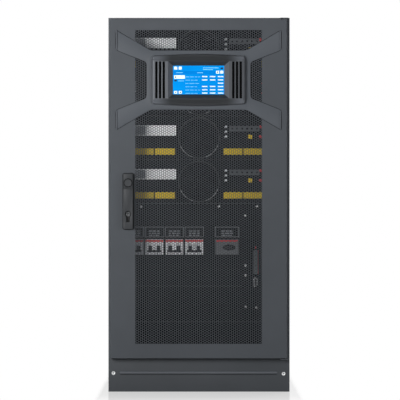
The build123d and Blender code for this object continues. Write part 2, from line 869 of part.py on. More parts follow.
with BuildPart() as handle_head:
    with BuildSketch(front_plane(handle_x, door_front - running_gap, handle_turn_height)):
        RegularPolygon(hub_radius, plain_sides)
    extrude(amount=escutcheon_thickness + grip_float)
    with BuildSketch(front_plane(handle_x, grip_back, handle_turn_height - head_fall)) as head_outline:
        Rectangle(grip_width, head_rise + head_fall, align=(Align.CENTER, Align.MIN))
        fillet(head_outline.vertices().group_by(Axis.Z)[-1], head_corner)
    extrude(amount=grip_thickness)
    with BuildSketch(front_plane(handle_x, grip_front, handle_turn_height)):
        Circle(cap_radius)
    extrude(amount=cap_height)
    tongue_plane = Plane(origin=(handle_x, lift_y, lift_z), x_dir=(0, -1, 0), z_dir=(-1, 0, 0))
    with BuildSketch(tongue_plane):
        Circle(tongue_radius)
        with Locations((neck_front, 0)):
            Rectangle(grip_round + neck_front, lift_drop - head_fall, align=(Align.MAX, Align.MIN))
    extrude(amount=tongue_width / 2, both=True)
    with BuildSketch(tongue_plane):
        RegularPolygon(lift_pin_radius, plain_sides)
    extrude(amount=grip_width / 2, both=True)
handle_head.part.label = "handle_head"
export_step(handle_head.part, "parts/handle_head.step")

with BuildPart() as handle_lever:
    with BuildSketch(tongue_plane):
        with Locations((0, lever_rise)):
            Rectangle(grip_thickness, grip_length + lever_rise, align=(Align.CENTER, Align.MAX))
    extrude(amount=grip_width / 2, both=True)
    with BuildSketch(tongue_plane):
        RegularPolygon(lift_pin_radius + running_gap, plain_sides, major_radius=False)
    extrude(amount=grip_width / 2, both=True, mode=Mode.SUBTRACT)
    with BuildSketch(tongue_plane):
        with Locations((grip_round - lever_web, lever_rise)):
            Rectangle(
                grip_thickness - lever_web,
                lever_rise + tongue_radius + swing_gap,
                align=(Align.MAX, Align.MAX),
            )
    extrude(amount=tongue_width / 2 + tongue_gap, both=True, mode=Mode.SUBTRACT)
    with BuildSketch(front_plane(handle_x, grip_back, lock_level)):
        Circle(lock_radius + lock_window_gap)
        Rectangle(
            lock_stem_width + 2 * lock_window_gap,
            lock_stem_length + lock_window_gap,
            align=(Align.CENTER, Align.MAX),
        )
    extrude(amount=grip_thickness, mode=Mode.SUBTRACT)
handle_lever.part.label = "handle_lever"
export_step(handle_lever.part, "parts/handle_lever.step")
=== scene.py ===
# %% [markdown]
# # Dressing a modular UPS cabinet
# The cabinet's sheet metal, modules and switches arrive as a imported frame of solids in their
# true places. This lesson gives each solid its finish, then swaps the coarse ones for finely
# made pieces: the punched door sheet, the display bezel, the swing handle, the fans and guards.
# We load the frame first; the solids' boxes give the new pieces their sizes. The dressed
# cabinet has to stay inside it.

# %% Load the frame
import math

import bmesh
import bpy
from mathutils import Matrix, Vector


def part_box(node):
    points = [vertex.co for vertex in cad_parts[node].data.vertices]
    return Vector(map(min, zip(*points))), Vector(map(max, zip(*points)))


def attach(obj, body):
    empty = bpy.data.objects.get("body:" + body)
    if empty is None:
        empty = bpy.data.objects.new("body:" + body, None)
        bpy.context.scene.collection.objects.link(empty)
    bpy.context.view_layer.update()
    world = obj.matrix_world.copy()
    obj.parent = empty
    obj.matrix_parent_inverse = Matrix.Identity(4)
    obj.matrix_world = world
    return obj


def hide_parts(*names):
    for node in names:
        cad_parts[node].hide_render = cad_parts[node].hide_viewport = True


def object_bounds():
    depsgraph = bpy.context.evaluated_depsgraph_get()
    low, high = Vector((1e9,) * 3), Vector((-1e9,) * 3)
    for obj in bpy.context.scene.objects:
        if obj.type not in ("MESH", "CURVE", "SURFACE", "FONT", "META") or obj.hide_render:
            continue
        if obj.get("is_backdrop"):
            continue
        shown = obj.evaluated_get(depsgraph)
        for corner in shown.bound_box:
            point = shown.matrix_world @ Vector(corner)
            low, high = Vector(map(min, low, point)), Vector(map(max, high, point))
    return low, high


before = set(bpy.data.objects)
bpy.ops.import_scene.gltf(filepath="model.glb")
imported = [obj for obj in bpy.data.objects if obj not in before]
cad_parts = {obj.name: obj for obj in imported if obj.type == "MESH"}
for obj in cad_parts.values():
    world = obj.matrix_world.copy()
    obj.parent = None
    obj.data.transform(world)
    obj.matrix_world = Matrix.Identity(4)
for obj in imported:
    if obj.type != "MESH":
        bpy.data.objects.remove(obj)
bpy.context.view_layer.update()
scene = bpy.context.scene
scene.view_settings.view_transform = "Standard"

# %% [markdown]
# ## Camera
# Product pictures of tall cabinets are taken from far away with a long lens, so that upright
# edges stay upright. A short lens close by would show more of the roof and sides.
# We stand almost 12 m away, level with the cabinet's middle, and frame a field 1.2 m wide.

# %% Camera
MM = 0.001
camera_data = bpy.data.cameras.new("product_camera")
camera_data.lens = 351
camera_data.sensor_width = 36
camera = bpy.data.objects.new("product_camera", camera_data)
camera.location = (0.003, -12.19, 0.582)
camera.rotation_euler = (math.radians(90), 0, 0)
scene.collection.objects.link(camera)
scene.camera = camera
print("camera at", tuple(camera.location), "lens", camera_data.lens)

# %% [markdown]
# ## Studio light
# The door shows a soft, level light from the left that fades towards the plinth, and no hard
# shadow. One small lamp would burn a spot into the paint, so the key is a large area lamp, with
# a broader one at the right to fill the shadows and one behind for the rear panel.
# A grid narrows the key's beam (`spread`), and the key looks at the upper left of the door,
# so the light falls off downwards. `to_track_quat` turns a lamp's -Z axis towards its target.

# %% Lamps
def soft_lamp(name, place, target, size, spread, watts):
    lamp_data = bpy.data.lights.new(name, "AREA")
    lamp_data.shape = "DISK"
    lamp_data.size = size
    lamp_data.spread = math.radians(spread)
    lamp_data.energy = watts
    lamp = bpy.data.objects.new(name, lamp_data)
    lamp.location = place
    aim = Vector(target) - lamp.location
    lamp.rotation_euler = aim.to_track_quat("-Z", "Y").to_euler()
    scene.collection.objects.link(lamp)
    print("lamp", name, watts, "W")


soft_lamp("key_left", (-1.5, -3.4, 1.05), (-0.2, -0.38, 1.3), size=1.2, spread=85, watts=20)
soft_lamp("fill_right", (3.2, -3.4, 0.8), (0, -0.3, 0.6), size=1.8, spread=180, watts=34)
soft_lamp("rear_wash", (1.2, 3.4, 2.6), (0, 0.3, 0.6), size=2.6, spread=180, watts=110)

# %% [markdown]
# ## White surroundings
# The cabinet stands before plain white. A brighter world would also wash out the paint, so the
# world is white only to rays from the camera, from gloss and through glass, and dimmer to all
# others. Light Path tells the kinds of ray apart.

# %% World
def seen_rays(tree):
    path = tree.nodes.new("ShaderNodeLightPath")
    seen = path.outputs["Is Camera Ray"]
    for kind in ("Is Glossy Ray", "Is Transmission Ray"):
        either = tree.nodes.new("ShaderNodeMath")
        either.operation = "MAXIMUM"
        tree.links.new(seen, either.inputs[0])
        tree.links.new(path.outputs[kind], either.inputs[1])
        seen = either.outputs[0]
    return seen


world = bpy.data.worlds.new("white_studio")
world.use_nodes = True
scene.world = world
tree = world.node_tree
ambient = tree.nodes["Background"]
ambient.inputs["Color"].default_value = (0.98, 0.99, 1, 1)
ambient.inputs["Strength"].default_value = 0.06
white = tree.nodes.new("ShaderNodeBackground")
white.inputs["Color"].default_value = (1, 1, 1, 1)
white.inputs["Strength"].default_value = 1
choose = tree.nodes.new("ShaderNodeMixShader")
tree.links.new(seen_rays(tree), choose.inputs[0])
tree.links.new(ambient.outputs[0], choose.inputs[1])
tree.links.new(white.outputs[0], choose.inputs[2])
tree.links.new(choose.outputs[0], tree.nodes["World Output"].inputs["Surface"])
print("world: ambient", ambient.inputs["Strength"].default_value)

# %% [markdown]
# ## Floor
# The floor is polished white: it keeps the contact shadow and a faint mirror image of the plinth.
# A glossy shader with full Fresnel would turn into a mirror at this low angle, so a fixed share
# of gloss is mixed over white instead. Away from the cabinet the white glows by itself, which
# hides the floor's edge. The distance comes from object coordinates. Light that bounces off the
# floor meets a dimmer paint, so that the floor does not light the plinth from below.

# %% Floor finish
def away_from_cabinet(tree):
    place = tree.nodes.new("ShaderNodeTexCoord")
    axes = tree.nodes.new("ShaderNodeSeparateXYZ")
    farther = tree.nodes.new("ShaderNodeMath")
    farther.operation = "MAXIMUM"
    tree.links.new(place.outputs["Object"], axes.inputs[0])
    for axis, near, far, lowest in (("X", 0.265, 0.31, 0), ("Y", 0.45, 1.2, 0.7)):
        away = tree.nodes.new("ShaderNodeMath")
        away.operation = "ABSOLUTE"
        fade = tree.nodes.new("ShaderNodeMapRange")
        fade.interpolation_type = "SMOOTHSTEP"
        fade.inputs["From Min"].default_value = near
        fade.inputs["From Max"].default_value = far
        fade.inputs["To Min"].default_value = lowest
        tree.links.new(axes.outputs[axis], away.inputs[0])
        tree.links.new(away.outputs[0], fade.inputs["Value"])
        tree.links.new(fade.outputs["Result"], farther.inputs[0 if axis == "X" else 1])
    return farther.outputs[0]


def polished_floor():
    finish = bpy.data.materials.new("polished_white_floor")
    finish.use_nodes = True
    tree = finish.node_tree
    tree.nodes.remove(tree.nodes["Principled BSDF"])
    paint = tree.nodes.new("ShaderNodeBsdfDiffuse")
    paint.inputs["Color"].default_value = (0.9, 0.9, 0.905, 1)
    dim_paint = tree.nodes.new("ShaderNodeBsdfDiffuse")
    dim_paint.inputs["Color"].default_value = (0.3, 0.3, 0.3, 1)
    seen = seen_rays(tree)
    bounce = tree.nodes.new("ShaderNodeMixShader")
    glow = tree.nodes.new("ShaderNodeEmission")
    glow.inputs["Color"].default_value = (1, 1, 1, 1)
    glow.inputs["Strength"].default_value = 1
    away = away_from_cabinet(tree)
    shown = tree.nodes.new("ShaderNodeMath")
    shown.operation = "MULTIPLY"
    blend = tree.nodes.new("ShaderNodeMixShader")
    gloss = tree.nodes.new("ShaderNodeBsdfGlossy")
    gloss.inputs["Color"].default_value = (1, 1, 1, 1)
    gloss.inputs["Roughness"].default_value = 0.04
    polish = tree.nodes.new("ShaderNodeMixShader")
    polish.inputs[0].default_value = 0.2
    tree.links.new(away, shown.inputs[0])
    tree.links.new(seen, shown.inputs[1])
    tree.links.new(seen, bounce.inputs[0])
    tree.links.new(dim_paint.outputs[0], bounce.inputs[1])
    tree.links.new(paint.outputs[0], bounce.inputs[2])
    tree.links.new(shown.outputs[0], blend.inputs[0])
    tree.links.new(bounce.outputs[0], blend.inputs[1])
    tree.links.new(glow.outputs[0], blend.inputs[2])
    tree.links.new(blend.outputs[0], polish.inputs[1])
    tree.links.new(gloss.outputs[0], polish.inputs[2])
    tree.links.new(polish.outputs[0], tree.nodes["Material Output"].inputs["Surface"])
    return finish


floor_finish = polished_floor()
print("floor finish:", floor_finish.name)

# %% [markdown]
# The floor itself is one large square. It lies half a millimetre low, clear of the plinth's
# foot.

# %% Floor
floor_half = 6
floor_mesh = bpy.data.meshes.new("studio_floor")
floor_corners = [(-floor_half, -floor_half, 0), (floor_half, -floor_half, 0)]
floor_corners += [(floor_half, floor_half, 0), (-floor_half, floor_half, 0)]
floor_mesh.from_pydata(floor_corners, [], [(0, 1, 2, 3)])
floor_mesh.materials.append(floor_finish)
studio_floor = bpy.data.objects.new("studio_floor", floor_mesh)
studio_floor.location.z = -0.0005
scene.collection.objects.link(studio_floor)
studio_floor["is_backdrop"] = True
print("floor", 2 * floor_half, "m square")

# %% [markdown]
# ## Finishes
# Cabinet steel is powder coated: a matt graphite skin with a fine orange-peel surface.
# One flat colour looks like plastic film, so a slow noise moves between two close tones
# and a fine noise drives roughness and a bump of a few hundredths of a millimetre.
# The same recipe with other numbers gives moulded plastic, zinc plate, nickel and foil.

# %% Finish recipe
def make_finish(name, tone_a, tone_b, rough=0.5, metal=0.0, cloud=9.0, grain=900.0,
                lift=0.15, shine=0.22):
    finish = bpy.data.materials.new(name)
    finish.use_nodes = True
    tree = finish.node_tree
    skin = tree.nodes["Principled BSDF"]
    skin.inputs["Metallic"].default_value = metal
    skin.inputs["Specular IOR Level"].default_value = shine
    place = tree.nodes.new("ShaderNodeTexCoord")
    slow = tree.nodes.new("ShaderNodeTexNoise")
    slow.inputs["Scale"].default_value = cloud
    slow.inputs["Detail"].default_value = 4
    tones = tree.nodes.new("ShaderNodeValToRGB")
    tones.color_ramp.elements[0].position = 0.3
    tones.color_ramp.elements[0].color = (*tone_a, 1)
    tones.color_ramp.elements[1].position = 0.7
    tones.color_ramp.elements[1].color = (*tone_b, 1)
    fine = tree.nodes.new("ShaderNodeTexNoise")
    fine.inputs["Scale"].default_value = grain
    fine.inputs["Detail"].default_value = 2
    dull = tree.nodes.new("ShaderNodeMapRange")
    dull.inputs["To Min"].default_value = max(rough - 0.07, 0.03)
    dull.inputs["To Max"].default_value = min(rough + 0.07, 1)
    peel = tree.nodes.new("ShaderNodeBump")
    peel.inputs["Strength"].default_value = lift
    peel.inputs["Distance"].default_value = 0.0002
    tree.links.new(place.outputs["Object"], slow.inputs["Vector"])
    tree.links.new(place.outputs["Object"], fine.inputs["Vector"])
    tree.links.new(slow.outputs["Fac"], tones.inputs["Fac"])
    tree.links.new(tones.outputs["Color"], skin.inputs["Base Color"])
    tree.links.new(fine.outputs["Fac"], dull.inputs["Value"])
    tree.links.new(dull.outputs["Result"], skin.inputs["Roughness"])
    tree.links.new(fine.outputs["Fac"], peel.inputs["Height"])
    tree.links.new(peel.outputs["Normal"], skin.inputs["Normal"])
    return finish


print("recipe ready, finishes so far:", len(bpy.data.materials))

# %% [markdown]
# The door, the body and the shell are one graphite paint, but each has a coat of its own tone:
# the shell's lighter tone paints light on it, the body's darker tone paints shade. The perforated
# sheet has a tone of its own. Powder coat has the deeper orange peel, satin coat is smoother.

# %% Coats
def powder_coat(name, tone_a, tone_b):
    return make_finish(name, tone_a, tone_b, rough=0.52, grain=1100, lift=0.28)


def satin_coat(name, tone_a, tone_b):
    return make_finish(name, tone_a, tone_b, rough=0.46, grain=1300, lift=0.15)


graphite = powder_coat("graphite_powder_coat", (0.061, 0.068, 0.078), (0.069, 0.077, 0.088))
body_graphite = powder_coat("body_powder_coat", (0.053, 0.059, 0.066), (0.060, 0.066, 0.074))
shell_graphite = powder_coat("shell_powder_coat", (0.090, 0.100, 0.113), (0.100, 0.110, 0.124))
sheet_graphite = powder_coat("sheet_powder_coat", (0.071, 0.079, 0.090), (0.080, 0.088, 0.101))
# The bead's lighter coat paints a highlight along it.
bead_painted_highlight_coat = satin_coat("bead_painted_highlight_powder_coat", (0.118, 0.128, 0.145), (0.131, 0.142, 0.160))
surround_grey = satin_coat("surround_satin_coat", (0.075, 0.084, 0.097), (0.084, 0.093, 0.107))
print("coats:", [finish.name for finish in bpy.data.materials if "coat" in finish.name])

# %% [markdown]
# Inside the cabinet the rear posts are galvanised, the module fronts are almost black, and the
# fans sit behind blackened wire. Galvanised sheet shows pale spangles a centimetre or two across,
# so its slow noise is finer than a coat's and its two tones lie further apart. The black parts
# get hardly any `shine`, because through the door they are no more than dark shapes.

# %% Steel, black and wire finishes
zinc_sheet = make_finish(
    "galvanised_steel", (0.34, 0.35, 0.36), (0.46, 0.47, 0.48),
    rough=0.42, metal=0.9, cloud=60, grain=500, lift=0.1)
module_black = make_finish(
    "module_matt_black", (0.004, 0.0044, 0.005), (0.0065, 0.007, 0.0075),
    rough=0.6, grain=1000, lift=0.2, shine=0.03)
panel_black = make_finish(
    "panel_matt_black", (0.005, 0.0054, 0.006), (0.0075, 0.008, 0.0085),
    rough=0.58, grain=1000, lift=0.2, shine=0.03)
black_wire = make_finish(
    "blackened_wire", (0.006, 0.0063, 0.0066), (0.010, 0.0103, 0.0106),
    rough=0.4, cloud=120, grain=1500, lift=0.05, shine=0.03)
rim_coat = make_finish(
    "rim_black_coat", (0.035, 0.036, 0.038), (0.050, 0.052, 0.054),
    rough=0.35, cloud=60, grain=1500, lift=0.05)
# A light wire tone that paints highlights on the fan inlet rims.
painted_highlight_wire = make_finish(
    "painted_highlight_wire", (0.17, 0.176, 0.184), (0.24, 0.247, 0.256),
    rough=0.35, metal=0.2, cloud=60, grain=1500, lift=0.05)
fan_black = make_finish(
    "fan_plastic", (0.003, 0.003, 0.0033), (0.005, 0.005, 0.0054),
    rough=0.45, grain=1500, lift=0.06, shine=0.03)
# This black is the dark colour of slots, fields and windows, and also paints shadows: the line
# round the surround, the ring on the handle's cap and the strip under the plinth's bead.
black_and_painted_shade = make_finish(
    "black_plastic_and_painted_shade", (0.003, 0.003, 0.0035), (0.005, 0.005, 0.0055),
    rough=0.6, grain=1200, lift=0.1, shine=0.02)
print("dark finishes ready, materials so far:", len(bpy.data.materials))

# %% [markdown]
# The small fittings are plastic, foil, zinc or nickel. They are smoother than the coats,
# so their fine noise is finer still and their bump is lower.

# %% Finishes of the small fittings
silver_foil = make_finish(
    "silver_plate", (0.92, 0.94, 0.96), (0.97, 0.98, 0.99),
    rough=0.4, metal=0.1, cloud=40, grain=1400, lift=0.05)
dark_foil = make_finish(
    "status_foil", (0.070, 0.076, 0.083), (0.086, 0.092, 0.099),
    rough=0.4, cloud=50, grain=1400, lift=0.05)
pale_plastic = make_finish(
    "button_plastic", (0.58, 0.60, 0.63), (0.68, 0.70, 0.72),
    rough=0.4, cloud=80, grain=1500, lift=0.05)
switch_white = make_finish(
    "switch_plastic", (0.84, 0.85, 0.87), (0.92, 0.93, 0.95),
    rough=0.45, cloud=60, grain=1500, lift=0.08)
lever_black = make_finish(
    "lever_plastic", (0.016, 0.016, 0.018), (0.024, 0.024, 0.026),
    rough=0.4, cloud=60, grain=1500, lift=0.08)
switch_grey = make_finish(
    "switch_grey_plastic", (0.13, 0.136, 0.143), (0.16, 0.166, 0.173),
    rough=0.45, cloud=70, grain=1500, lift=0.08)
zinc_bright = make_finish(
    "zinc_plated_screw", (0.62, 0.63, 0.64), (0.74, 0.75, 0.75),
    rough=0.28, metal=0.95, cloud=200, grain=1800, lift=0.05)
nickel = make_finish(
    "lock_nickel", (0.075, 0.078, 0.082), (0.10, 0.104, 0.108),
    rough=0.35, metal=0.4, cloud=150, grain=1600, lift=0.05)
print("fittings ready, materials so far:", len(bpy.data.materials))

# %% [markdown]
# Moulded parts on the door are fine-textured plastic. The bezel is lighter than the coat,
# the handle is darker. The bezel's colours also carry painted light and shade: its face
# darkens from left to right as painted shade, its sloped bands and the funnel's floor and
# ceiling are far darker as painted shade, lighter at the bands' ends as painted highlight, and
# the funnel's side walls are darker, the right one lighter than the left as painted light.
# `fade_sideways` mixes a second tone in along X for that. A ramp painted by the
# camera's view would slide about, while object coordinates stay with the piece.

# %% Moulded finishes
def moulded(name, tone_a, tone_b):
    return make_finish(name, tone_a, tone_b, rough=0.42, grain=1500, lift=0.18)


bezel_plastic = moulded("bezel_plastic", (0.113, 0.123, 0.139), (0.126, 0.136, 0.153))
# A dark tone that paints the shade on the sloped bands and on the funnel's floor and ceiling.
bezel_painted_shade = moulded("bezel_band_painted_shade", (0.023, 0.0255, 0.028), (0.028, 0.0305, 0.034))
# A darker tone that paints the shade on the funnel's side walls.
funnel_wall_painted_shading = moulded("funnel_wall_painted_shading_plastic", (0.078, 0.085, 0.096), (0.086, 0.093, 0.105))
escutcheon_black = make_finish(
    "escutcheon_plastic", (0.013, 0.0145, 0.016), (0.017, 0.0185, 0.020),
    rough=0.5, grain=1400, lift=0.18, shine=0.1)
handle_plastic = make_finish(
    "handle_plastic", (0.031, 0.034, 0.038), (0.037, 0.040, 0.044),
    rough=0.45, grain=1400, lift=0.18)


def fade_sideways(finish, tone, start, stop, mirrored=False):
    tree = finish.node_tree
    place = tree.nodes["Texture Coordinate"]
    axes = tree.nodes.new("ShaderNodeSeparateXYZ")
    fade = tree.nodes.new("ShaderNodeMapRange")
    fade.interpolation_type = "SMOOTHSTEP"
    fade.inputs["From Min"].default_value = start
    fade.inputs["From Max"].default_value = stop
    blend = tree.nodes.new("ShaderNodeMixRGB")
    blend.inputs["Color2"].default_value = (*tone, 1)
    tree.links.new(place.outputs["Object"], axes.inputs[0])
    across = axes.outputs["X"]
    if mirrored:
        from_middle = tree.nodes.new("ShaderNodeMath")
        from_middle.operation = "ABSOLUTE"
        tree.links.new(across, from_middle.inputs[0])
        across = from_middle.outputs[0]
    tree.links.new(across, fade.inputs["Value"])
    tree.links.new(fade.outputs["Result"], blend.inputs["Fac"])
    tree.links.new(tree.nodes["Color Ramp"].outputs["Color"], blend.inputs["Color1"])
    tree.links.new(blend.outputs["Color"], tree.nodes["Principled BSDF"].inputs["Base Color"])


# Lighter towards the ends of the bands: painted highlight.
fade_sideways(bezel_painted_shade, (0.112, 0.122, 0.139), 0.080, 0.138, mirrored=True)
# Darker towards the right: painted shade on the bezel's face.
fade_sideways(bezel_plastic, (0.070, 0.076, 0.086), -0.13, 0.12)
# Lighter towards the right: painted light on the funnel's right wall.
fade_sideways(funnel_wall_painted_shading, (0.116, 0.126, 0.142), -0.08, 0.08)
print("moulded finishes:", bezel_plastic.name, bezel_painted_shade.name, funnel_wall_painted_shading.name)

# %% [markdown]
# The foils are printed signal colours. The lit display needs a finish of its own: glass that
# glows, so its colour also feeds the emission socket, and the slow noise keeps it from being
# one flat blue.

# %% Printed and lit finishes
def printed(name, tone_a, tone_b, rough=0.5):
    return make_finish(name, tone_a, tone_b, rough, cloud=90, grain=1400, lift=0.04)


yellow_foil = make_finish(
    "yellow_foil", (0.76, 0.54, 0.002), (0.88, 0.63, 0.004),
    rough=0.5, cloud=120, grain=1400, lift=0.05)
red_print = printed("red_print", (0.60, 0.016, 0.022), (0.70, 0.022, 0.030), rough=0.45)
frame_print = printed("frame_print", (0.20, 0.21, 0.23), (0.26, 0.27, 0.29))
grey_label_and_painted_shade = printed("grey_label_and_painted_shade", (0.34, 0.36, 0.39), (0.42, 0.44, 0.47))


def lit_finish(name, tone_a, tone_b, strength):
    finish = make_finish(
        name, tone_a, tone_b, rough=0.2, cloud=14, grain=1600, lift=0.02, shine=0.02)
    tree = finish.node_tree
    skin = tree.nodes["Principled BSDF"]
    tones = tree.nodes["Color Ramp"]
    tree.links.new(tones.outputs["Color"], skin.inputs["Emission Color"])
    skin.inputs["Emission Strength"].default_value = strength
    return finish


screen_blue = lit_finish("screen_blue", (0.0006, 0.176, 0.525), (0.0008, 0.206, 0.575), 0.75)
screen_white = lit_finish("screen_white", (0.57, 0.665, 0.635), (0.65, 0.735, 0.70), 0.7)
screen_pale = lit_finish("screen_pale_blue", (0.13, 0.42, 0.66), (0.16, 0.47, 0.72), 0.65)
screen_deep = lit_finish("screen_deep_blue", (0.0006, 0.145, 0.475), (0.0008, 0.165, 0.515), 0.72)
screen_navy = lit_finish("screen_navy", (0.010, 0.030, 0.075), (0.014, 0.040, 0.095), 0.5)
print("finishes in all:", len(bpy.data.materials))

# %% [markdown]
# ## Dressing the solids
# Every solid takes one finish. The names of the nodes say what they are, so a table from finish
# to names is enough, and the last line shows whether a node has been forgotten.

# %% Finish for each solid
coats = {
    body_graphite: "floor_pan plinth_sides plinth_rear plinth_cover rear_panel pivot_brackets",
    shell_graphite: "left_side_panel right_side_panel roof_cover",
    graphite: "door_skin door_mesh",
    zinc_sheet: "rear_posts module_runners door_bushes",
    panel_black: "front_posts distribution_panel interface_plate lower_covers display_rear_box",
    module_black: "power_module_1 power_module_2 power_module_3 power_module_4",
    fan_black: "fan_rotor_1 fan_rotor_2 fan_rotor_3 fan_rotor_4",
    black_wire: "fan_guards",
    silver_foil: "module_name_plates",
    dark_foil: "module_status_bars",
    pale_plastic: "module_buttons",
    switch_white: "breaker_1 breaker_2 breaker_3 breaker_4",
    switch_grey: "bypass_switch terminal_strip",
    lever_black: "breaker_lever_1 breaker_lever_2 breaker_lever_3 breaker_lever_4 bypass_lever",
    zinc_bright: "serial_port",
    surround_grey: "display_surround",
    bezel_plastic: "display_bezel",
    screen_blue: "touch_screen",
    handle_plastic: "handle_escutcheon handle_head handle_lever",
    nickel: "lock_cylinder",
}
undressed = set(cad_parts)
for finish, names in coats.items():
    for name in names.split():
        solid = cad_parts[name]
        solid.data.materials.clear()
        solid.data.materials.append(finish)
        undressed.remove(name)
print("nodes without a finish:", sorted(undressed))

# %% [markdown]
# ## Helpers for flat pieces
# Most pieces on the door are plates with an outline seen from the front, some with holes.
# We write outlines as lists of (x, z) in millimetres. `round_corners` replaces each corner by a
# short curve. Blender's bevel could do that later, but an outline that is round from the start
# can still be moved inwards or cut as a hole.

# %% Outlines
def round_corners(points, radius, steps=5):
    rounded = []
    count = len(points)
    radii = radius if isinstance(radius, list) else [radius] * count
    for k, (px, pz) in enumerate(points):
        ends = []
        for nx, nz in (points[k - 1], points[(k + 1) % count]):
            length = math.hypot(nx - px, nz - pz)
            share = min(radii[k] / length, 0.45)
            ends.append((px + (nx - px) * share, pz + (nz - pz) * share))
        (ax, az), (bx, bz) = ends
        for step in range(steps + 1):
            t = step / steps
            a, p, b = (1 - t) ** 2, 2 * t * (1 - t), t * t
            rounded.append((a * ax + p * px + b * bx, a * az + p * pz + b * bz))
    return rounded


def box_outline(x0, x1, z0, z1):
    return [(x0, z0), (x1, z0), (x1, z1), (x0, z1)]


def rounded_box(x0, x1, z0, z1, corner, steps=5):
    return round_corners(box_outline(x0, x1, z0, z1), corner, steps)


def oval_outline(x, z, half_width, half_height, sides):
    turns = [math.tau * k / sides for k in range(sides)]
    return [(x + half_width * math.cos(a), z + half_height * math.sin(a)) for a in turns]


def circle_outline(x, z, radius, sides=40):
    return oval_outline(x, z, radius, radius, sides)


print("points in a rounded box:", len(rounded_box(0, 10, 0, 6, 1)))

# %% [markdown]
# `inset` moves an outline inwards: each point goes along the middle of its two edges' normals.
# Done in small steps, that gives a plate its rounded front edge. `turn_sense` tells which way
# round the outline was drawn, because inwards depends on it.

# %% Inset
def turn_sense(points):
    return sum(points[k - 1][0] * p[1] - p[0] * points[k - 1][1] for k, p in enumerate(points))


def inset(points, distance):
    sense = 1 if turn_sense(points) > 0 else -1
    moved = []
    count = len(points)
    for k, (px, pz) in enumerate(points):
        ax, az = px - points[k - 1][0], pz - points[k - 1][1]
        bx, bz = points[(k + 1) % count][0] - px, points[(k + 1) % count][1] - pz
        la, lb = math.hypot(ax, az) or 1, math.hypot(bx, bz) or 1
        nx, nz = -az / la - bz / lb, ax / la + bx / lb
        size = nx * nx + nz * nz
        scale = 2 * distance * sense / max(size, 0.8)
        moved.append((px + nx * scale, pz + nz * scale))
    return moved


print("a box outline moved inwards:", inset(box_outline(0, 10, 0, 6), 1))

# %% [markdown]
# `plate` raises an outline between two depths (y, with the front at the smaller y) and rounds its
# front edge. `lay` puts a plate of a given thickness on a surface. Blender's `triangle_fill`
# closes a face that has holes, given nothing but the edges around it.

# %% Plates
def ring_at(bm, points, y):
    return [bm.verts.new((x * MM, y * MM, z * MM)) for x, z in points]


def join_rings(bm, first, second):
    for k in range(len(first)):
        bm.faces.new((first[k - 1], first[k], second[k], second[k - 1]))


def fill_rings(bm, rings):
    edges = []
    for ring in rings:
        for k in range(len(ring)):
            edge = bm.edges.get((ring[k - 1], ring[k]))
            edges.append(edge or bm.edges.new((ring[k - 1], ring[k])))
    bmesh.ops.triangle_fill(bm, edges=edges, normal=(0, -1, 0), use_beauty=True)


def plate(bm, outline, back, front, edge=0.0, holes=(), steps=3):
    front_rings = []
    back_rings = []
    for loop, inward in [(outline, 1)] + [(hole, -1) for hole in holes]:
        ring = ring_at(bm, loop, back)
        back_rings.append(ring)
        for step in range(steps + 1 if edge else 1):
            turn = math.radians(90) * step / steps
            depth = edge * (1 - math.sin(turn)) if edge else 0
            loop_in = inset(loop, inward * edge * (1 - math.cos(turn))) if edge else loop
            following = ring_at(bm, loop_in, front + depth)
            join_rings(bm, ring, following)
            ring = following
        front_rings.append(ring)
    fill_rings(bm, front_rings)
    fill_rings(bm, back_rings)


def lay(bm, outline, surface, thickness, edge=0.0, holes=()):
    plate(bm, outline, surface, surface - thickness, edge, holes)


sample = bmesh.new()
lay(sample, rounded_box(0, 10, 0, 6, 1), 0, 2, 0.5)
print("faces in a small plate:", len(sample.faces))
sample.free()

# %% [markdown]
# `add_piece` turns a finished `bmesh` into an object, lets it ride on its body and hides the
# solid it stands for. Faces are shaded smooth, and edges sharper than an angle stay crisp.

# %% Pieces
def add_piece(name, bm, finish, body, stands_for=(), sharp=32):
    bmesh.ops.recalc_face_normals(bm, faces=bm.faces)
    mesh = bpy.data.meshes.new(name)
    bm.to_mesh(mesh)
    bm.free()
    mesh.polygons.foreach_set("use_smooth", [True] * len(mesh.polygons))
    mesh.set_sharp_from_angle(angle=math.radians(sharp))
    mesh.materials.append(finish)
    piece = bpy.data.objects.new(name, mesh)
    scene.collection.objects.link(piece)
    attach(piece, body)
    if stands_for:
        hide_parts(*stands_for)
    print(name, len(mesh.polygons), "faces on", body)
    return piece


print("ready to add pieces to", len(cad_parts), "solids")

# %% [markdown]
# ## Perforated door sheet
# The field in the door is punched with hexagonal holes, 6 mm across flats on a 7.4 mm pitch,
# staggered by columns. A texture with holes would look flat when the door opens, so each hole is
# cut for real. The sheet's size comes from its solid, and with the pitch it says how many columns
# and rows of holes fit.

# %% Lattice sizes
def box_of(name):
    low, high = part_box(name)
    return low / MM, high / MM


def level_of(name):
    low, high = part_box(name)
    return (low.z + high.z) / 2 / MM


hole_pitch = 7.4
hole_flats = 6.0
column_step = hole_pitch * math.sqrt(3) / 2
cell_radius = hole_pitch / math.sqrt(3)
hole_radius = hole_flats / math.sqrt(3)
sheet_low, sheet_high = box_of("door_mesh")
sheet_middle = (sheet_low.x + sheet_high.x) / 2
sheet_level = (sheet_low.z + sheet_high.z) / 2
columns = int((sheet_high.x - sheet_low.x - 2 * cell_radius) / column_step) + 1
rows = int((sheet_high.z - sheet_low.z - hole_pitch / 2) / hole_pitch)
display_level = level_of("display_bezel")
print("holes:", columns, "columns of", rows)

# %% [markdown]
# Each cell is a hexagon minus a smaller hexagon. Neighbours share their corner points, found
# again by a rounded key, so that the sheet is one skin and not a heap of loose frames.
# Behind the display the cells stay closed, since nobody sees through there.

# %% Lattice cells
closed_half_width, closed_half_height = 150, 84
keys_per_mm = 20


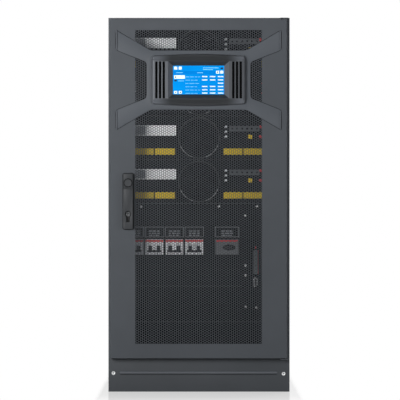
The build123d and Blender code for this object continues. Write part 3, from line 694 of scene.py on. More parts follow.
def behind_display(x, z):
    in_width = abs(x - sheet_middle) < closed_half_width
    return in_width and abs(z - display_level) < closed_half_height


sheet = bmesh.new()
corner_points = {}


def corner_point(x, z):
    key = (round(x * keys_per_mm), round(z * keys_per_mm))
    if key not in corner_points:
        corner_points[key] = sheet.verts.new((x * MM, 0, z * MM))
    return corner_points[key]


hexagon = [(math.cos(math.tau * k / 6), math.sin(math.tau * k / 6)) for k in range(6)]
for column in range(-1, columns + 1):
    stagger = (column % 2 - 0.5) * hole_pitch / 2
    for row in range(-1, rows + 1):
        cx = sheet_middle + (column - (columns - 1) / 2) * column_step
        cz = sheet_level + (row - (rows - 1) / 2) * hole_pitch + stagger
        outer = [corner_point(cx + cell_radius * c, cz + cell_radius * s) for c, s in hexagon]
        if behind_display(cx, cz):
            sheet.faces.new(outer)
            continue
        hole = [(cx + hole_radius * c, cz + hole_radius * s) for c, s in hexagon]
        inner = ring_at(sheet, hole, 0)
        for k in range(6):
            sheet.faces.new((outer[k - 1], outer[k], inner[k], inner[k - 1]))
print("flat lattice faces:", len(sheet.faces))

# %% [markdown]
# The lattice reaches past the door's opening on every side. Four cuts with `bisect_plane` trim it
# to the opening, which leaves part holes along the edge, as a sheet punched in one go has them.
# Then the flat sheet gets its thickness by hand: a second layer of points and a wall at each open
# edge. It is kept as two pieces, one over the other, so that neither mesh grows too heavy.

# %% Trimmed edge and thickness
trims = [(sheet_low, (-1, 0, 0)), (sheet_high, (1, 0, 0))]
trims += [(sheet_low, (0, 0, -1)), (sheet_high, (0, 0, 1))]
for place, outward in trims:
    everything = sheet.verts[:] + sheet.edges[:] + sheet.faces[:]
    bmesh.ops.bisect_plane(
        sheet, geom=everything, plane_co=place * MM, plane_no=outward, clear_outer=True)
bmesh.ops.recalc_face_normals(sheet, faces=sheet.faces)
print("trimmed lattice faces:", len(sheet.faces))


def thick_sheet(faces):
    bm = bmesh.new()
    layers = {}

    def layer_pair(vert):
        if vert not in layers:
            x, _, z = vert.co
            front = bm.verts.new((x, sheet_low.y * MM, z))
            layers[vert] = (front, bm.verts.new((x, sheet_high.y * MM, z)))
        return layers[vert]

    for face in faces:
        pairs = [layer_pair(v) for v in face.verts]
        bm.faces.new([front for front, back in pairs])
        bm.faces.new([back for front, back in reversed(pairs)])
        for edge in face.edges:
            if edge.is_boundary:
                (a, b), (c, d) = layer_pair(edge.verts[0]), layer_pair(edge.verts[1])
                bm.faces.new((a, c, d, b))
    return bm


sheet_split = 690 * MM
upper_faces = [f for f in sheet.faces if f.calc_center_median().z > sheet_split]
lower_faces = [f for f in sheet.faces if f.calc_center_median().z <= sheet_split]
for half, faces in (("upper", upper_faces), ("lower", lower_faces)):
    add_piece(f"perforated_sheet_{half}", thick_sheet(faces), sheet_graphite,
              "door", ["door_mesh"])
sheet.free()

# %% [markdown]
# ## Display surround
# A broad satin plate carries the display across the perforated field. Four arms reach out to the
# door's stiles and end in small upright lips. The outline is drawn once for a quarter and
# mirrored, then its corners are rounded, as they are on a punched plate.
# A thin dark strip under the plate's edge paints its shadow as a line round the plate.

# %% Surround
def front_of(name):
    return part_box(name)[0].y / MM


skin_front = front_of("door_skin")
surround_front = skin_front - 1.5
quarter = [(145.5, 89.75), (250, 151), (250, 91), (157.5, 54.5)]
arms = quarter + [(x, -z) for x, z in reversed(quarter)] + [(-x, -z) for x, z in quarter]
arms += [(-x, z) for x, z in reversed(quarter)]
surround_outline = [(sheet_middle + x, display_level + z) for x, z in round_corners(arms, 9)]
surround = bmesh.new()
plate(surround, surround_outline, skin_front, surround_front, 0.6)

lip_across, lip_up = 247.7, 121
lip_half_width, lip_half_height, lip_rise = 2.2, 29, 3.2
for side in (-1, 1):
    for end in (-1, 1):
        x = sheet_middle + side * lip_across
        z = display_level + end * lip_up
        lip = rounded_box(x - lip_half_width, x + lip_half_width,
                          z - lip_half_height, z + lip_half_height, 1.5)
        lay(surround, lip, surround_front, lip_rise, 1.4)
add_piece("display_surround_plate", surround, surround_grey,
          "door", ["display_surround"])

# Painted shadow: a dark strip a little wider than the plate.
painted_shadow_line = bmesh.new()
lay(painted_shadow_line, inset(surround_outline, -1.1), skin_front, 0.3)
add_piece("surround_painted_shadow_line", painted_shadow_line, black_and_painted_shade, "door")

# %% [markdown]
# Behind the perforated field a dark mounting plate ties the display to both stiles, and its
# apron reaches lower behind the display itself. One outline with two steps gives wings and apron
# together, so no seam shows through the holes.

# %% Mounting plate
wing_half_height, apron_half_width, apron_drop = 72, 150, 95
wing_left, wing_right = sheet_low.x + 1, sheet_high.x - 1
wing_foot, wing_top = display_level - wing_half_height, display_level + wing_half_height
apron_left, apron_right = sheet_middle - apron_half_width, sheet_middle + apron_half_width
apron_foot = display_level - apron_drop
mounting_outline = [(wing_left, wing_foot), (apron_left, wing_foot)]
mounting_outline += [(apron_left, apron_foot), (apron_right, apron_foot)]
mounting_outline += [(apron_right, wing_foot), (wing_right, wing_foot)]
mounting_outline += [(wing_right, wing_top), (wing_left, wing_top)]
mounting = bmesh.new()
plate(mounting, round_corners(mounting_outline, 4), sheet_high.y + 1.7, sheet_high.y + 0.2, 0.3)
add_piece("display_mounting_plate", mounting, panel_black, "door")

# %% [markdown]
# ## Display bezel
# The bezel is an injection moulding: crowned top and bottom edges, soft corners, a funnel that
# leads to the screen, and three ventilation slots on each side. A bevelled box cannot give the
# funnel and the slots at once, so the body is built from rings: out from the door, over the
# rounded rim, and down into the funnel. First come the outlines.

# %% Bezel outlines
def soften_ends(loop, corner):
    half = len(loop) // 2
    softened = []
    for k, point in enumerate(loop):
        if k % half in (0, half - 1):
            before, after = loop[k - 1], loop[(k + 1) % len(loop)]
            softened += round_corners([before, point, after], corner, 7)[8:16]
        else:
            softened.append(point)
    return softened


def crowned_outline(half_width, half_height, crown, corner, steps=16):
    top = []
    for k in range(steps + 1):
        u = 1 - 2 * k / steps
        top.append((half_width * u, half_height + crown * (1 - u * u)))
    loop = top + [(-x, -z) for x, z in top]
    return [(sheet_middle + x, display_level + z) for x, z in soften_ends(loop, corner)]


def bezel_window(half_width, half_height, corner, steps=5, shift=0.0):
    x = sheet_middle + shift
    return rounded_box(x - half_width, x + half_width,
                       display_level - half_height, display_level + half_height, corner, steps)


rim_half_width, rim_half_height = 142.5, 73
rim_loop = crowned_outline(rim_half_width, rim_half_height, crown=6.5, corner=13)
slot_across, slot_pitch = 127.5, 11.2
slot_half_width, slot_half_height = 3.7, 56
slots = []
for side in (-1, 1):
    for step in range(3):
        shift = side * (slot_across - slot_pitch * step)
        slots.append(bezel_window(slot_half_width, slot_half_height, 2.2, 4, shift))
mouth_half_width, mouth_half_height = 92.4, 56.2
screen_half_width, screen_half_height = 77.5, 43.5
funnel_mouth = bezel_window(mouth_half_width, mouth_half_height, 3)
funnel_foot = bezel_window(screen_half_width, screen_half_height, 1)
print("bezel rim:", len(rim_loop), "points, slots:", len(slots))

# %% [markdown]
# The rim rises in six small steps. Over and under the face, `sloped_ring` leans the rim back
# towards the middle of its width, which makes the two sloped bands. The face itself is flat, with
# the funnel and the slots as holes.

# %% Bezel moulding
bezel_back, bezel_front = surround_front, front_of("display_bezel")
glass_front = front_of("touch_screen")
rim_steps = ((0.5, 5), (1.2, 10), (2.0, 14), (3.2, 16.6), (5.0, 18), (7.5, 18.5))
rim_height = rim_steps[-1][1]
band_start, band_half_width, band_lean = 60, 150, 9
face_half_width, face_half_height, face_bow = 140, 59, 0.8
slot_depth = 5
bezel = bmesh.new()


def sloped_ring(loop, rise):
    ring = ring_at(bezel, loop, bezel_back - rise)
    for vert in ring:
        across = (vert.co.x / MM - sheet_middle) / band_half_width
        if abs(vert.co.z / MM - display_level) > band_start:
            lean = band_lean * MM * rise / rim_height
            vert.co.y += lean * math.sqrt(max(1 - across * across, 0))
    return ring


ring = ring_at(bezel, rim_loop, bezel_back)
for drawn_in, rise in rim_steps:
    following = sloped_ring(inset(rim_loop, drawn_in), rise)
    join_rings(bezel, ring, following)
    ring = following
face_loop = []
for x, z in inset(rim_loop, 8):
    limit = face_half_height - face_bow * ((x - sheet_middle) / face_half_width) ** 2
    face_loop.append((x, display_level + max(-limit, min(limit, z - display_level))))
brow = ring_at(bezel, face_loop, bezel_front)
join_rings(bezel, ring, brow)
mouth = ring_at(bezel, funnel_mouth, bezel_front)
join_rings(bezel, mouth, ring_at(bezel, funnel_foot, glass_front))
face_rings = [brow, mouth]
for slot in slots:
    slot_edge = ring_at(bezel, slot, bezel_front)
    join_rings(bezel, slot_edge, ring_at(bezel, slot, bezel_front + slot_depth))
    face_rings.append(slot_edge)
fill_rings(bezel, face_rings)
moulding = add_piece("bezel_moulding", bezel, bezel_plastic,
                     "door", ["display_bezel"], sharp=28)

# %% [markdown]
# One piece can carry several finishes: each face keeps the number of its material. The sloped
# bands and the funnel's floor and ceiling take the dark one, which paints their shade, and the
# funnel's side walls take their own, which paints light and shade on them. The way a face points
# (`normal`) and where its centre lies are enough to tell them apart.

# %% Bezel finishes and slot floors
moulding.data.materials.append(bezel_painted_shade)
moulding.data.materials.append(funnel_wall_painted_shading)
funnel_depths = (screen_half_height - 0.5, mouth_half_height + 0.1)
funnel_reach = 85
wall_nearest, wall_farthest = 77, 94
for face in moulding.data.polygons:
    up = abs(face.center.z / MM - display_level)
    across = abs(face.center.x / MM - sheet_middle)
    in_funnel = funnel_depths[0] < up < funnel_depths[1] and across < funnel_reach
    on_band = up > mouth_half_height and abs(face.normal.y) > 0.45
    if in_funnel and abs(face.normal.z) > 0.4 or on_band:
        face.material_index = 1
    elif wall_nearest < across < wall_farthest and abs(face.normal.x) > 0.4:
        face.material_index = 2

slot_floors = bmesh.new()
for slot in slots:
    floor_back = bezel_front + slot_depth + 1
    plate(slot_floors, inset(slot, -0.15), floor_back, bezel_front + slot_depth - 0.6)
add_piece("bezel_slot_floors", slot_floors, black_and_painted_shade, "door")

# %% [markdown]
# ## Screen layout
# The touch screen shows a status page: small tool keys along its edges, one wide key, a header
# band and a table of values. An image on the glass would blur at this size, so the page is set
# out in plain blocks that stand a hair proud of the glass.
# Places are written as shares of the page, counted from its upper left corner.

# %% Screen blocks
page_left, page_top = sheet_middle - 76.2, display_level + 41.9
page_width, page_height = 2 * screen_half_width, 2 * screen_half_height


def page_block(bm, left, top, width, height, corner=0.6, lift=0.25):
    x0, x1 = page_left + left * page_width, page_left + (left + width) * page_width
    z0, z1 = page_top - (top + height) * page_height, page_top - top * page_height
    lay(bm, rounded_box(x0, x1, z0, z1, corner, 3), glass_front, lift)


table_rows, row_pitch, first_row = 6, 0.1145, 0.345
key_width, key_height = 0.060, 0.098
value_width, value_height = 0.104, 0.036
tool_keys = [(0.015, 0.02), (0.105, 0.02), (0.015, 0.86), (0.105, 0.86)]
tool_keys += [(0.915, 0.16), (0.835, 0.16)]
keys = bmesh.new()
for left, top in tool_keys:
    page_block(keys, left, top, key_width, key_height)
page_block(keys, 0.015, 0.315, 0.21, 0.125)
for row in range(table_rows):
    for left in (0.56, 0.715, 0.87):
        if row != 2 or left > 0.8:
            top = first_row + row * row_pitch
            page_block(keys, left, top, value_width, value_height, 0.4)
add_piece("screen_keys", keys, screen_white, "door")

# %% [markdown]
# Thin strokes stand for the captions beside the values, and small dark squares for the pictures
# on the keys. The strokes' lengths step through a short list, so that the rows do not look
# stamped.

# %% Screen captions
header = bmesh.new()
page_block(header, -0.008, 0.165, 0.828, 0.125, 0.1, 0.12)
add_piece("screen_header_band", header, screen_deep, "door")

captions = bmesh.new()
caption_left, caption_drop, caption_gap = 0.235, 0.017, 0.018
row_strokes = [(0.075, 0.07, 0.05, 0.04), (0.09, 0.05, 0.06)]
row_strokes += [(0.06, 0.10, 0.07), (0.08, 0.06, 0.05)]
for row in range(table_rows):
    left = caption_left
    top = first_row + caption_drop + row * row_pitch
    for length in row_strokes[row % len(row_strokes)]:
        page_block(captions, left, top, length, 0.02, 0.2)
        left += length + caption_gap
single_strokes = [(0.05, 0.215, 0.13), (0.465, 0.215, 0.11), (0.58, 0.045, 0.30)]
single_strokes += [(0.58, 0.105, 0.19), (0.095, 0.50, 0.11)]
for left, top, length in single_strokes:
    page_block(captions, left, top, length, 0.024, 0.2)
add_piece("screen_captions", captions, screen_pale, "door")

marks = bmesh.new()
for left, top in ((0.92, 0.045), (0.015, 0.47)):
    page_block(marks, left, top, 0.05, 0.06, 0.5, 0.4)
for left, top in ((0.852, 0.19), (0.034, 0.892), (0.124, 0.892), (0.034, 0.36)):
    page_block(marks, left, top, 0.024, 0.036, 0.3, 0.4)
add_piece("screen_marks", marks, screen_navy, "door")

# %% [markdown]
# ## Swing handle
# The door is latched by a swing handle: a slim bar lies in front of an escutcheon, lifts at its
# lower end and then turns about its head. The bar is a plate with rounded front edges and a
# window for the lock. Head and bar move apart, so they are separate pieces that ride on separate
# bodies. Behind its front skin the bar's upper end is hollow, which leaves room for the lug.

# %% Handle bar
head_top = box_of("handle_head")[1].z
bar_low, bar_high = box_of("handle_lever")
handle_x = (bar_low.x + bar_high.x) / 2
half_grip = (bar_high.x - bar_low.x) / 2
grip_left, grip_right = handle_x - half_grip, handle_x + half_grip
grip_back, grip_front = bar_high.y, bar_low.y
lift_level = bar_high.z - 4
turn_level = head_top - 28
lock_level = turn_level - 94.8
web_back = grip_front + 1.2
pocket_foot, pocket_half = lift_level - 5.25, 6.8

window_radius, stem_half, window_foot = 9.4, 5.2, lock_level - 23.2
window_turns = [math.radians(150 - 300 * k / 24) for k in range(25)]
key_window = [(handle_x + window_radius * math.sin(a), lock_level + window_radius * math.cos(a))
              for a in window_turns]
key_window += [(handle_x - stem_half, window_foot), (handle_x + stem_half, window_foot)]
bar_outline = rounded_box(grip_left, grip_right, bar_low.z, bar_high.z, [5, 5, 0.5, 0.5])
body_outline = rounded_box(grip_left, grip_right, bar_low.z, pocket_foot, [5, 5, 0.1, 0.1])
bar = bmesh.new()
plate(bar, bar_outline, web_back, grip_front, 1.1, [key_window])
plate(bar, body_outline, grip_back, web_back, 0, [key_window])
for x0, x1 in ((grip_left, handle_x - pocket_half), (handle_x + pocket_half, grip_right)):
    plate(bar, box_outline(x0, x1, pocket_foot, bar_high.z), grip_back, web_back)
add_piece("handle_bar", bar, handle_plastic, "handle_lever", ["handle_lever"])

# %% [markdown]
# The head carries a round cap over the turning axis and a lug that reaches down behind the bar's
# front skin. A thin neck behind the seam between head and bar keeps light from showing through.
# The cap is round about that axis, so a small `lathe` helper sweeps its profile there.
# `side_profile` gives width to an outline seen from the side, such as a pivot pin.

# %% Handle head
def lathe(bm, x, z, profile, sides=48):
    rings = []
    for radius, y in profile:
        rings.append(ring_at(bm, circle_outline(x, z, radius, sides), y))
    for first, second in zip(rings, rings[1:]):
        join_rings(bm, first, second)
    bm.faces.new(rings[0])
    bm.faces.new(list(reversed(rings[-1])))


def side_profile(bm, points, x0, x1):
    first = [bm.verts.new((x0 * MM, y * MM, z * MM)) for y, z in points]
    second = [bm.verts.new((x1 * MM, y * MM, z * MM)) for y, z in points]
    join_rings(bm, first, second)
    bm.faces.new(first)
    bm.faces.new(list(reversed(second)))


axis_y = (grip_back + grip_front) / 2
head_foot = turn_level - 15
hub_radius, lug_half = 8, 6
head = bmesh.new()
head_outline = rounded_box(grip_left, grip_right, head_foot, head_top, [0.5, 0.5, 4, 4])
plate(head, head_outline, grip_back, grip_front, 1.1)
lathe(head, handle_x, turn_level, [(hub_radius, skin_front - 0.2), (hub_radius, grip_back)])
cap = [(11.2, 0.6), (11.2, -0.45), (10.9, -0.8), (10.2, -0.95)]
cap += [(8.6, -0.6), (8.0, -0.55), (3, -0.75)]
lathe(head, handle_x, turn_level, [(radius, grip_front + y) for radius, y in cap])
lug_left, lug_right = handle_x - lug_half, handle_x + lug_half
side_profile(head, circle_outline(axis_y, lift_level, 4, 24), lug_left, lug_right)
side_profile(head, circle_outline(axis_y, lift_level, 3, 16), grip_left + 0.4, grip_right - 0.4)
plate(head, box_outline(lug_left, lug_right, lift_level, head_foot), grip_back, axis_y - 1)
neck = box_outline(grip_left + 0.3, grip_right - 0.3, bar_high.z + 0.35, head_foot)
plate(head, neck, grip_back, axis_y + 0.2)
add_piece("handle_cap_head", head, handle_plastic,
          "handle_head", ["handle_head"])

# A black ring round the cap paints the shade of its groove.
cap_groove_painted_shade = bmesh.new()
groove = [(13.4, 0.3), (13.4, -0.12), (11.3, -0.12), (11.3, 0.3)]
lathe(cap_groove_painted_shade, handle_x, turn_level, [(radius, grip_front + y) for radius, y in groove])
add_piece("handle_cap_groove_painted_shade", cap_groove_painted_shade, black_and_painted_shade, "handle_head")

# %% [markdown]
# Under the bar lies the escutcheon, a dark back plate with a rounded edge and a bore for the
# head's hub. The lock looks through the bar's window: a profile cylinder has a round plug with a
# keyway and a flat stem below it.

# %% Escutcheon and lock
plate_low, plate_high = box_of("handle_escutcheon")
escutcheon = bmesh.new()
back_outline = rounded_box(plate_low.x + 1.6, plate_high.x, plate_low.z, plate_high.z, 7)
bore = circle_outline(handle_x, turn_level, hub_radius + 0.05, 32)
plate(escutcheon, back_outline, plate_high.y, plate_low.y, 1.4, [bore])
add_piece("handle_back_plate", escutcheon, escutcheon_black,
          "door", ["handle_escutcheon"])

lock_low, lock_high = box_of("lock_cylinder")
lock = bmesh.new()
keyway_half, keyway_reach, plug_radius = 0.9, 4.5, 7.3
keyway = box_outline(handle_x - keyway_half, handle_x + keyway_half,
                     lock_level - keyway_reach, lock_level + keyway_reach)
plug = circle_outline(handle_x, lock_level, plug_radius)
plate(lock, plug, lock_high.y, lock_low.y, 0.6, [keyway])
add_piece("profile_lock", lock, nickel, "door", ["lock_cylinder"])

stem = bmesh.new()
stem_outline = rounded_box(handle_x - 4, handle_x + 4, lock_level - 22, lock_level - 5, 2)
plate(stem, stem_outline, lock_high.y, lock_low.y + 0.5, 0.4)
add_piece("lock_stem", stem, lever_black, "door")

# %% [markdown]
# ## Fans
# Each module draws air through an axial fan. Its blades are twisted: steep at the hub, flat at
# the tip, with the hollow side to the back. A flat plate per blade would catch no light along its
# curve, so each one is a small grid bent along its chord and twisted along its span. Two such
# grids, one for each side, are closed round their edge to a skin 1.6 mm thick at its middle.

# %% Fan blades
blade_count, blade_steps = 7, 6
root_radius, blade_span = 18.5, 34
root_chord, chord_growth = 15, 11
root_pitch, blade_twist = 52, 26
blade_camber, half_skin, blade_squash = 1.9, 0.8, 0.85


def blade_grid(bm, level, middle_y, about, skin):
    grid = []
    for i in range(blade_steps + 1):
        s = i / blade_steps
        radius = root_radius + s * blade_span
        chord = root_chord + chord_growth * s
        pitch = math.radians(root_pitch - blade_twist * s)
        line = []
        for j in range(blade_steps + 1):
            u = (j / blade_steps - 0.5) * chord
            off_middle = (2 * j / blade_steps - 1) ** 2
            bulge = blade_camber * (1 - off_middle) + skin * (1 - 0.75 * off_middle)
            across = u * math.cos(pitch) + bulge * math.sin(pitch)
            along = u * math.sin(pitch) - bulge * math.cos(pitch)
            angle = about + across / radius
            x, z = radius * math.cos(angle), level + radius * math.sin(angle)
            line.append(bm.verts.new((x * MM, (middle_y + along * blade_squash) * MM, z * MM)))
        grid.append(line)
    return grid


def fan_blade(bm, level, middle_y, about):
    skins = [blade_grid(bm, level, middle_y, about, skin) for skin in (half_skin, -half_skin)]
    last = blade_steps
    for i in range(last):
        for j in range(last):
            for grid in skins:
                bm.faces.new((grid[i][j], grid[i + 1][j], grid[i + 1][j + 1], grid[i][j + 1]))
    edge = [(0, j) for j in range(last)] + [(i, last) for i in range(last)]
    edge += [(last, j) for j in range(last, 0, -1)] + [(i, 0) for i in range(last, 0, -1)]
    first, second = skins
    for k, (i, j) in enumerate(edge):
        m, n = edge[(k + 1) % len(edge)]
        bm.faces.new((first[i][j], first[m][n], second[m][n], second[i][j]))


print("blade tip radius:", root_radius + blade_span, "mm")

# %% [markdown]
# The rotor's hub is turned like the handle's cap, with a rounded front edge, and the blades are
# set round it. Each rotor spins on its own, so each is a piece on a body of its own.

# %% Fan rotors
def fan_rotor(index):
    node = f"fan_rotor_{index}"
    low, high = box_of(node)
    level = module_levels[index - 1]
    hub = [(4.05, high.y), (19, high.y), (20, high.y - 1), (20, low.y + 2)]
    hub += [(19.3, low.y + 0.7), (17.5, low.y), (6, low.y + 0.6)]
    bm = bmesh.new()
    lathe(bm, 0, level, hub, 40)
    for blade in range(blade_count):
        fan_blade(bm, level, (low.y + high.y) / 2, math.tau * blade / blade_count)
    add_piece(f"fan_blades_{index}", bm, fan_black, node, [node], sharp=40)


module_levels = [level_of(f"power_module_{index}") for index in range(1, 5)]
for index in range(1, 5):
    fan_rotor(index)

# %% [markdown]
# ## Fan guards
# A guard is bent from round blackened wire: rings spot-welded to two crossing wires. A torus per
# ring would do, but not for arcs and crossing wires, so `wire` sweeps a small circle along any
# row of points.

# %% Round wire
def wire(bm, points, radius, closed=False, sides=8):
    rings = []
    count = len(points)
    for k, point in enumerate(points):
        ahead = points[(k + 1) % count] if closed or k < count - 1 else point
        behind = points[k - 1] if closed or k > 0 else point
        along = (Vector(ahead) - Vector(behind)).normalized()
        out = Vector((0, -1, 0))
        side = along.cross(out).normalized()
        ring = []
        for s in range(sides):
            turn = math.tau * s / sides
            offset = radius * (side * math.cos(turn) + out * math.sin(turn))
            ring.append(bm.verts.new((Vector(point) + offset) * MM))
        rings.append(ring)
    for first, second in zip(rings, rings[1:]):
        join_rings(bm, first, second)
    if closed:
        join_rings(bm, rings[-1], rings[0])
    else:
        bm.faces.new(rings[0])
        bm.faces.new(list(reversed(rings[-1])))


def wire_ring(bm, level, y, radius, thickness, sides=56):
    points = [(x, y, z) for x, z in circle_outline(0, level, radius, sides)]
    wire(bm, points, thickness, closed=True)


fascia_front = front_of("power_module_1")
print("guards stand at the fascia's front:", fascia_front, "mm")

# %% [markdown]
# Around each guard lies the rim of the fan inlet. Two arcs low on that rim are painted highlights:
# light wires where the rim catches the light. The rim is one closed wire. The arcs are thicker
# wires that cover it.

# %% Wire guards
guard_y = front_of("fan_guards") + 1.25
inner_rings = (50, 40, 30, 20, 10)
outer_ring, cross_reach, inlet_radius = 59.8, 60, 61.9
painted_highlight_spans = ((204, 252), (288, 337))
guards = bmesh.new()
inlet_rims = bmesh.new()
painted_highlight_arcs = bmesh.new()
for level in module_levels:
    for radius in inner_rings:
        wire_ring(guards, level, guard_y, radius, 1.05)
    wire_ring(guards, level, guard_y, outer_ring, 1.0)
    wire_ring(inlet_rims, level, fascia_front - 0.5, inlet_radius, 0.8, 72)
    for first, last in painted_highlight_spans:
        turns = [math.radians(first + (last - first) * k / 14) for k in range(15)]
        arc = [(inlet_radius * math.cos(a), fascia_front - 0.9, level + inlet_radius * math.sin(a))
               for a in turns]
        wire(painted_highlight_arcs, arc, 1.2)
    for turn in (45, 135):
        c = cross_reach * math.cos(math.radians(turn))
        s = cross_reach * math.sin(math.radians(turn))
        cross = [(-c, guard_y, level - s), (0, guard_y, level), (c, guard_y, level + s)]
        wire(guards, cross, 1.1)
add_piece("fan_guard_wires", guards, black_wire, "cabinet", ["fan_guards"])
add_piece("fan_inlet_rims", inlet_rims, rim_coat, "cabinet")
add_piece("fan_inlet_painted_highlight_arcs", painted_highlight_arcs, painted_highlight_wire, "cabinet")

# %% [markdown]
# ## Marks on the modules
# Every module carries four yellow foils along its foot, one small yellow foil under the status
# bar and two red lamps beside it.
# Foils are thin plates laid on the fascia, with a gap between neighbours, as on the real front.

# %% Module foils and lamps
module_edge = 206
foil_foot, foil_top = -52, -32.7
foil_spans = ((-module_edge, -138), (-135, -73.4), (75.3, 132.6), (135.4, module_edge))
foil_thickness = 0.3
lamp_x, lamp_radius = 187.5, 4.6
yellow = bmesh.new()
for level in module_levels:
    for x0, x1 in foil_spans:
        foil = rounded_box(x0, x1, level + foil_foot, level + foil_top, 1)
        lay(yellow, foil, fascia_front, foil_thickness)
    small_foil = rounded_box(149.5, 162, level - 3, level + 9, 1)
    lay(yellow, small_foil, fascia_front, foil_thickness)
add_piece("module_yellow_foils", yellow, yellow_foil, "cabinet")

red = bmesh.new()
for level in module_levels:
    for rise in (33, 3):
        lay(red, circle_outline(lamp_x, level + rise, lamp_radius, 20), fascia_front, 0.6, 0.3)
add_piece("module_red_lamps", red, red_print, "cabinet")

# %% [markdown]
# The silver name plates have rolled edges and a plain grey field at their left end, a tenth of a
# millimetre proud of the plate, so that the two surfaces do not flicker into each other. The field
# stands for the plate's label zone and also paints the shade that the door's stile casts there.

# %% Name plates
plate_thickness = 1
name_plates = bmesh.new()
label_and_shade_fields = bmesh.new()
for level in module_levels:
    outline = rounded_box(-module_edge, -70, level + 6, level + 38, 2)
    lay(name_plates, outline, fascia_front, plate_thickness, 0.5)
    # The grey field: label zone and painted shade.
    field = rounded_box(-196, -163, level + 9, level + 35, 1)
    lay(label_and_shade_fields, field, fascia_front - plate_thickness, 0.1)
add_piece("silver_name_plates", name_plates, silver_foil,
          "cabinet", ["module_name_plates"])
add_piece("name_plate_label_and_shade_fields", label_and_shade_fields, grey_label_and_painted_shade, "cabinet")

# %% [markdown]
# Three push keys sit beside the fan, domed by a wide rounded edge. Right of them lies the dark
# status bar with a row of tiny windows, laid on in the same way as the name plate's field.

# %% Push keys and status bars
key_x, key_half_width, key_half_height = 82, 4.5, 3.5
push_keys = bmesh.new()
for level in module_levels:
    for rise in (3, 18, 33):
        z = level + rise
        outline = rounded_box(key_x - key_half_width, key_x + key_half_width,
                              z - key_half_height, z + key_half_height, 2.5)
        lay(push_keys, outline, fascia_front, 4, 1.4)
add_piece("module_push_keys", push_keys, pale_plastic,
          "cabinet", ["module_buttons"])

window_start, window_pitch, window_half = 101, 15.2, 3
status = bmesh.new()
windows = bmesh.new()
for level in module_levels:
    bar_foil = rounded_box(93, 185, level + 19, level + 36, 2)
    lay(status, bar_foil, fascia_front, plate_thickness, 0.4)
    for k in range(6):
        x = window_start + window_pitch * k
        window = rounded_box(x - window_half, x + window_half, level + 25, level + 30, 1)
        lay(windows, window, fascia_front - plate_thickness, 0.15)
add_piece("status_bar_foils", status, dark_foil, "cabinet", ["module_status_bars"])
add_piece("status_bar_windows", windows, black_and_painted_shade, "cabinet")

# %% [markdown]
# ## Switch panel
# Under the modules lies a panel with four breakers and a bypass switch. Each breaker is three
# modules wide, with two toggles, a red band over them and small dark fields under and between
# them. The bypass switch has a grey frame with an oval gate. A frame is a plate with one hole, so
# `plate` draws it at once, and dark floors close what shows through the gate.

# %% Breaker bands and bypass gate
print_thickness = 0.3
band_foot, band_top = 15.7, 21.7
field_foot, field_top = -22.3, -18.5
first_field, field_pitch, field_width = -22, 10.4, 2.4
gate_shift, gate_drop = 5.6, 1.3
gate_half_width, gate_half_height = 20, 9
bands = bmesh.new()
fields = bmesh.new()
bypass_band = bmesh.new()
gate_frame = bmesh.new()
rocker_low, rocker_high = box_of("bypass_lever")
rocker_slot_half = (rocker_high.x - rocker_low.x) / 2 + 1


def breaker_front(x, z, half, front):
    band = box_outline(x - half, x + half, z + band_foot, z + band_top)
    lay(bands, band, front, print_thickness)
    for step in range(5):
        start = x + first_field + field_pitch * step
        spot = rounded_box(start, start + field_width, z + field_foot, z + field_top, 0.8)
        lay(fields, spot, front, print_thickness)
    for rise in (6, -3):
        lay(fields, circle_outline(x, z + rise, 1.7, 16), front, print_thickness)


def bypass_front(x, z, half, front):
    band = box_outline(x - half + 2, x + half - 2, z + 16.5, z + 21)
    lay(bypass_band, band, front, print_thickness)
    gate = oval_outline(x + gate_shift, z - gate_drop, gate_half_width, gate_half_height, 48)
    frame_outline = rounded_box(x - half + 1, x + half - 1, z - 21.5, z + 15.5, 2)
    lay(gate_frame, frame_outline, front, 0.8, 0.3, [gate])
    slot_right = x + rocker_slot_half
    right_floor = [(max(px, slot_right), pz) for px, pz in gate if px > slot_right - 2.5]
    lay(fields, right_floor, front, 0.2)
    slot_floor = box_outline(x - rocker_slot_half + 0.1, slot_right - 0.1, z - 11.9, z + 11.9)
    lay(fields, slot_floor, front + 15.9, 0.5)


switches = [box_of(f"breaker_{k}") for k in range(1, 5)] + [box_of("bypass_switch")]
fronts = [breaker_front] * 4 + [bypass_front]
for (low, high), dress_front in zip(switches, fronts):
    dress_front((low.x + high.x) / 2, (low.z + high.z) / 2, (high.x - low.x) / 2, low.y)
add_piece("breaker_red_bands", bands, red_print, "cabinet")
add_piece("breaker_marking_fields", fields, black_and_painted_shade, "cabinet")
add_piece("bypass_gate_frame", gate_frame, switch_grey, "cabinet")
add_piece("bypass_red_band", bypass_band, red_print, "cabinet")

# %% [markdown]
# Above each switch a printed frame holds three rows of short strokes, like a label seen from
# afar. Strokes of uneven length keep the label's grey tone with very few faces.

# %% Label frames
label_foot, label_top = 469, 500
first_stroke, stroke_pitch, stroke_height = 485.5, 6.5, 3.4
stroke_reach, stroke_gap = 17, 2.6
stroke_rows = ((11, 9, 8), (7, 13, 9), (10, 6, 11))
label_frames = bmesh.new()
label_fields = bmesh.new()
for low, high in switches:
    outer = box_outline(low.x - 1.5, high.x + 1.5, label_foot, label_top)
    lay(label_frames, outer, fascia_front, 0.2, 0, [inset(outer, 1.3)])
    for row, strokes in enumerate(stroke_rows):
        start = (low.x + high.x) / 2 - stroke_reach
        foot = first_stroke - stroke_pitch * row
        for length in strokes:
            stroke = box_outline(start, start + length, foot, foot + stroke_height)
            lay(label_fields, stroke, fascia_front, 0.15)
            start += length + stroke_gap
add_piece("switch_label_frames", label_frames, frame_print, "cabinet")
add_piece("switch_label_fields", label_fields, frame_print, "cabinet")

# %% [markdown]
# The toggles of one breaker are two black paddles joined by a tie bar, so that both switch
# together. A paddle is drawn from the side as a hub with a finger and given its width by
# `side_profile`. At rest the paddles point down and forward at 45 degrees.

# %% Breaker toggles
slant = math.sqrt(0.5)


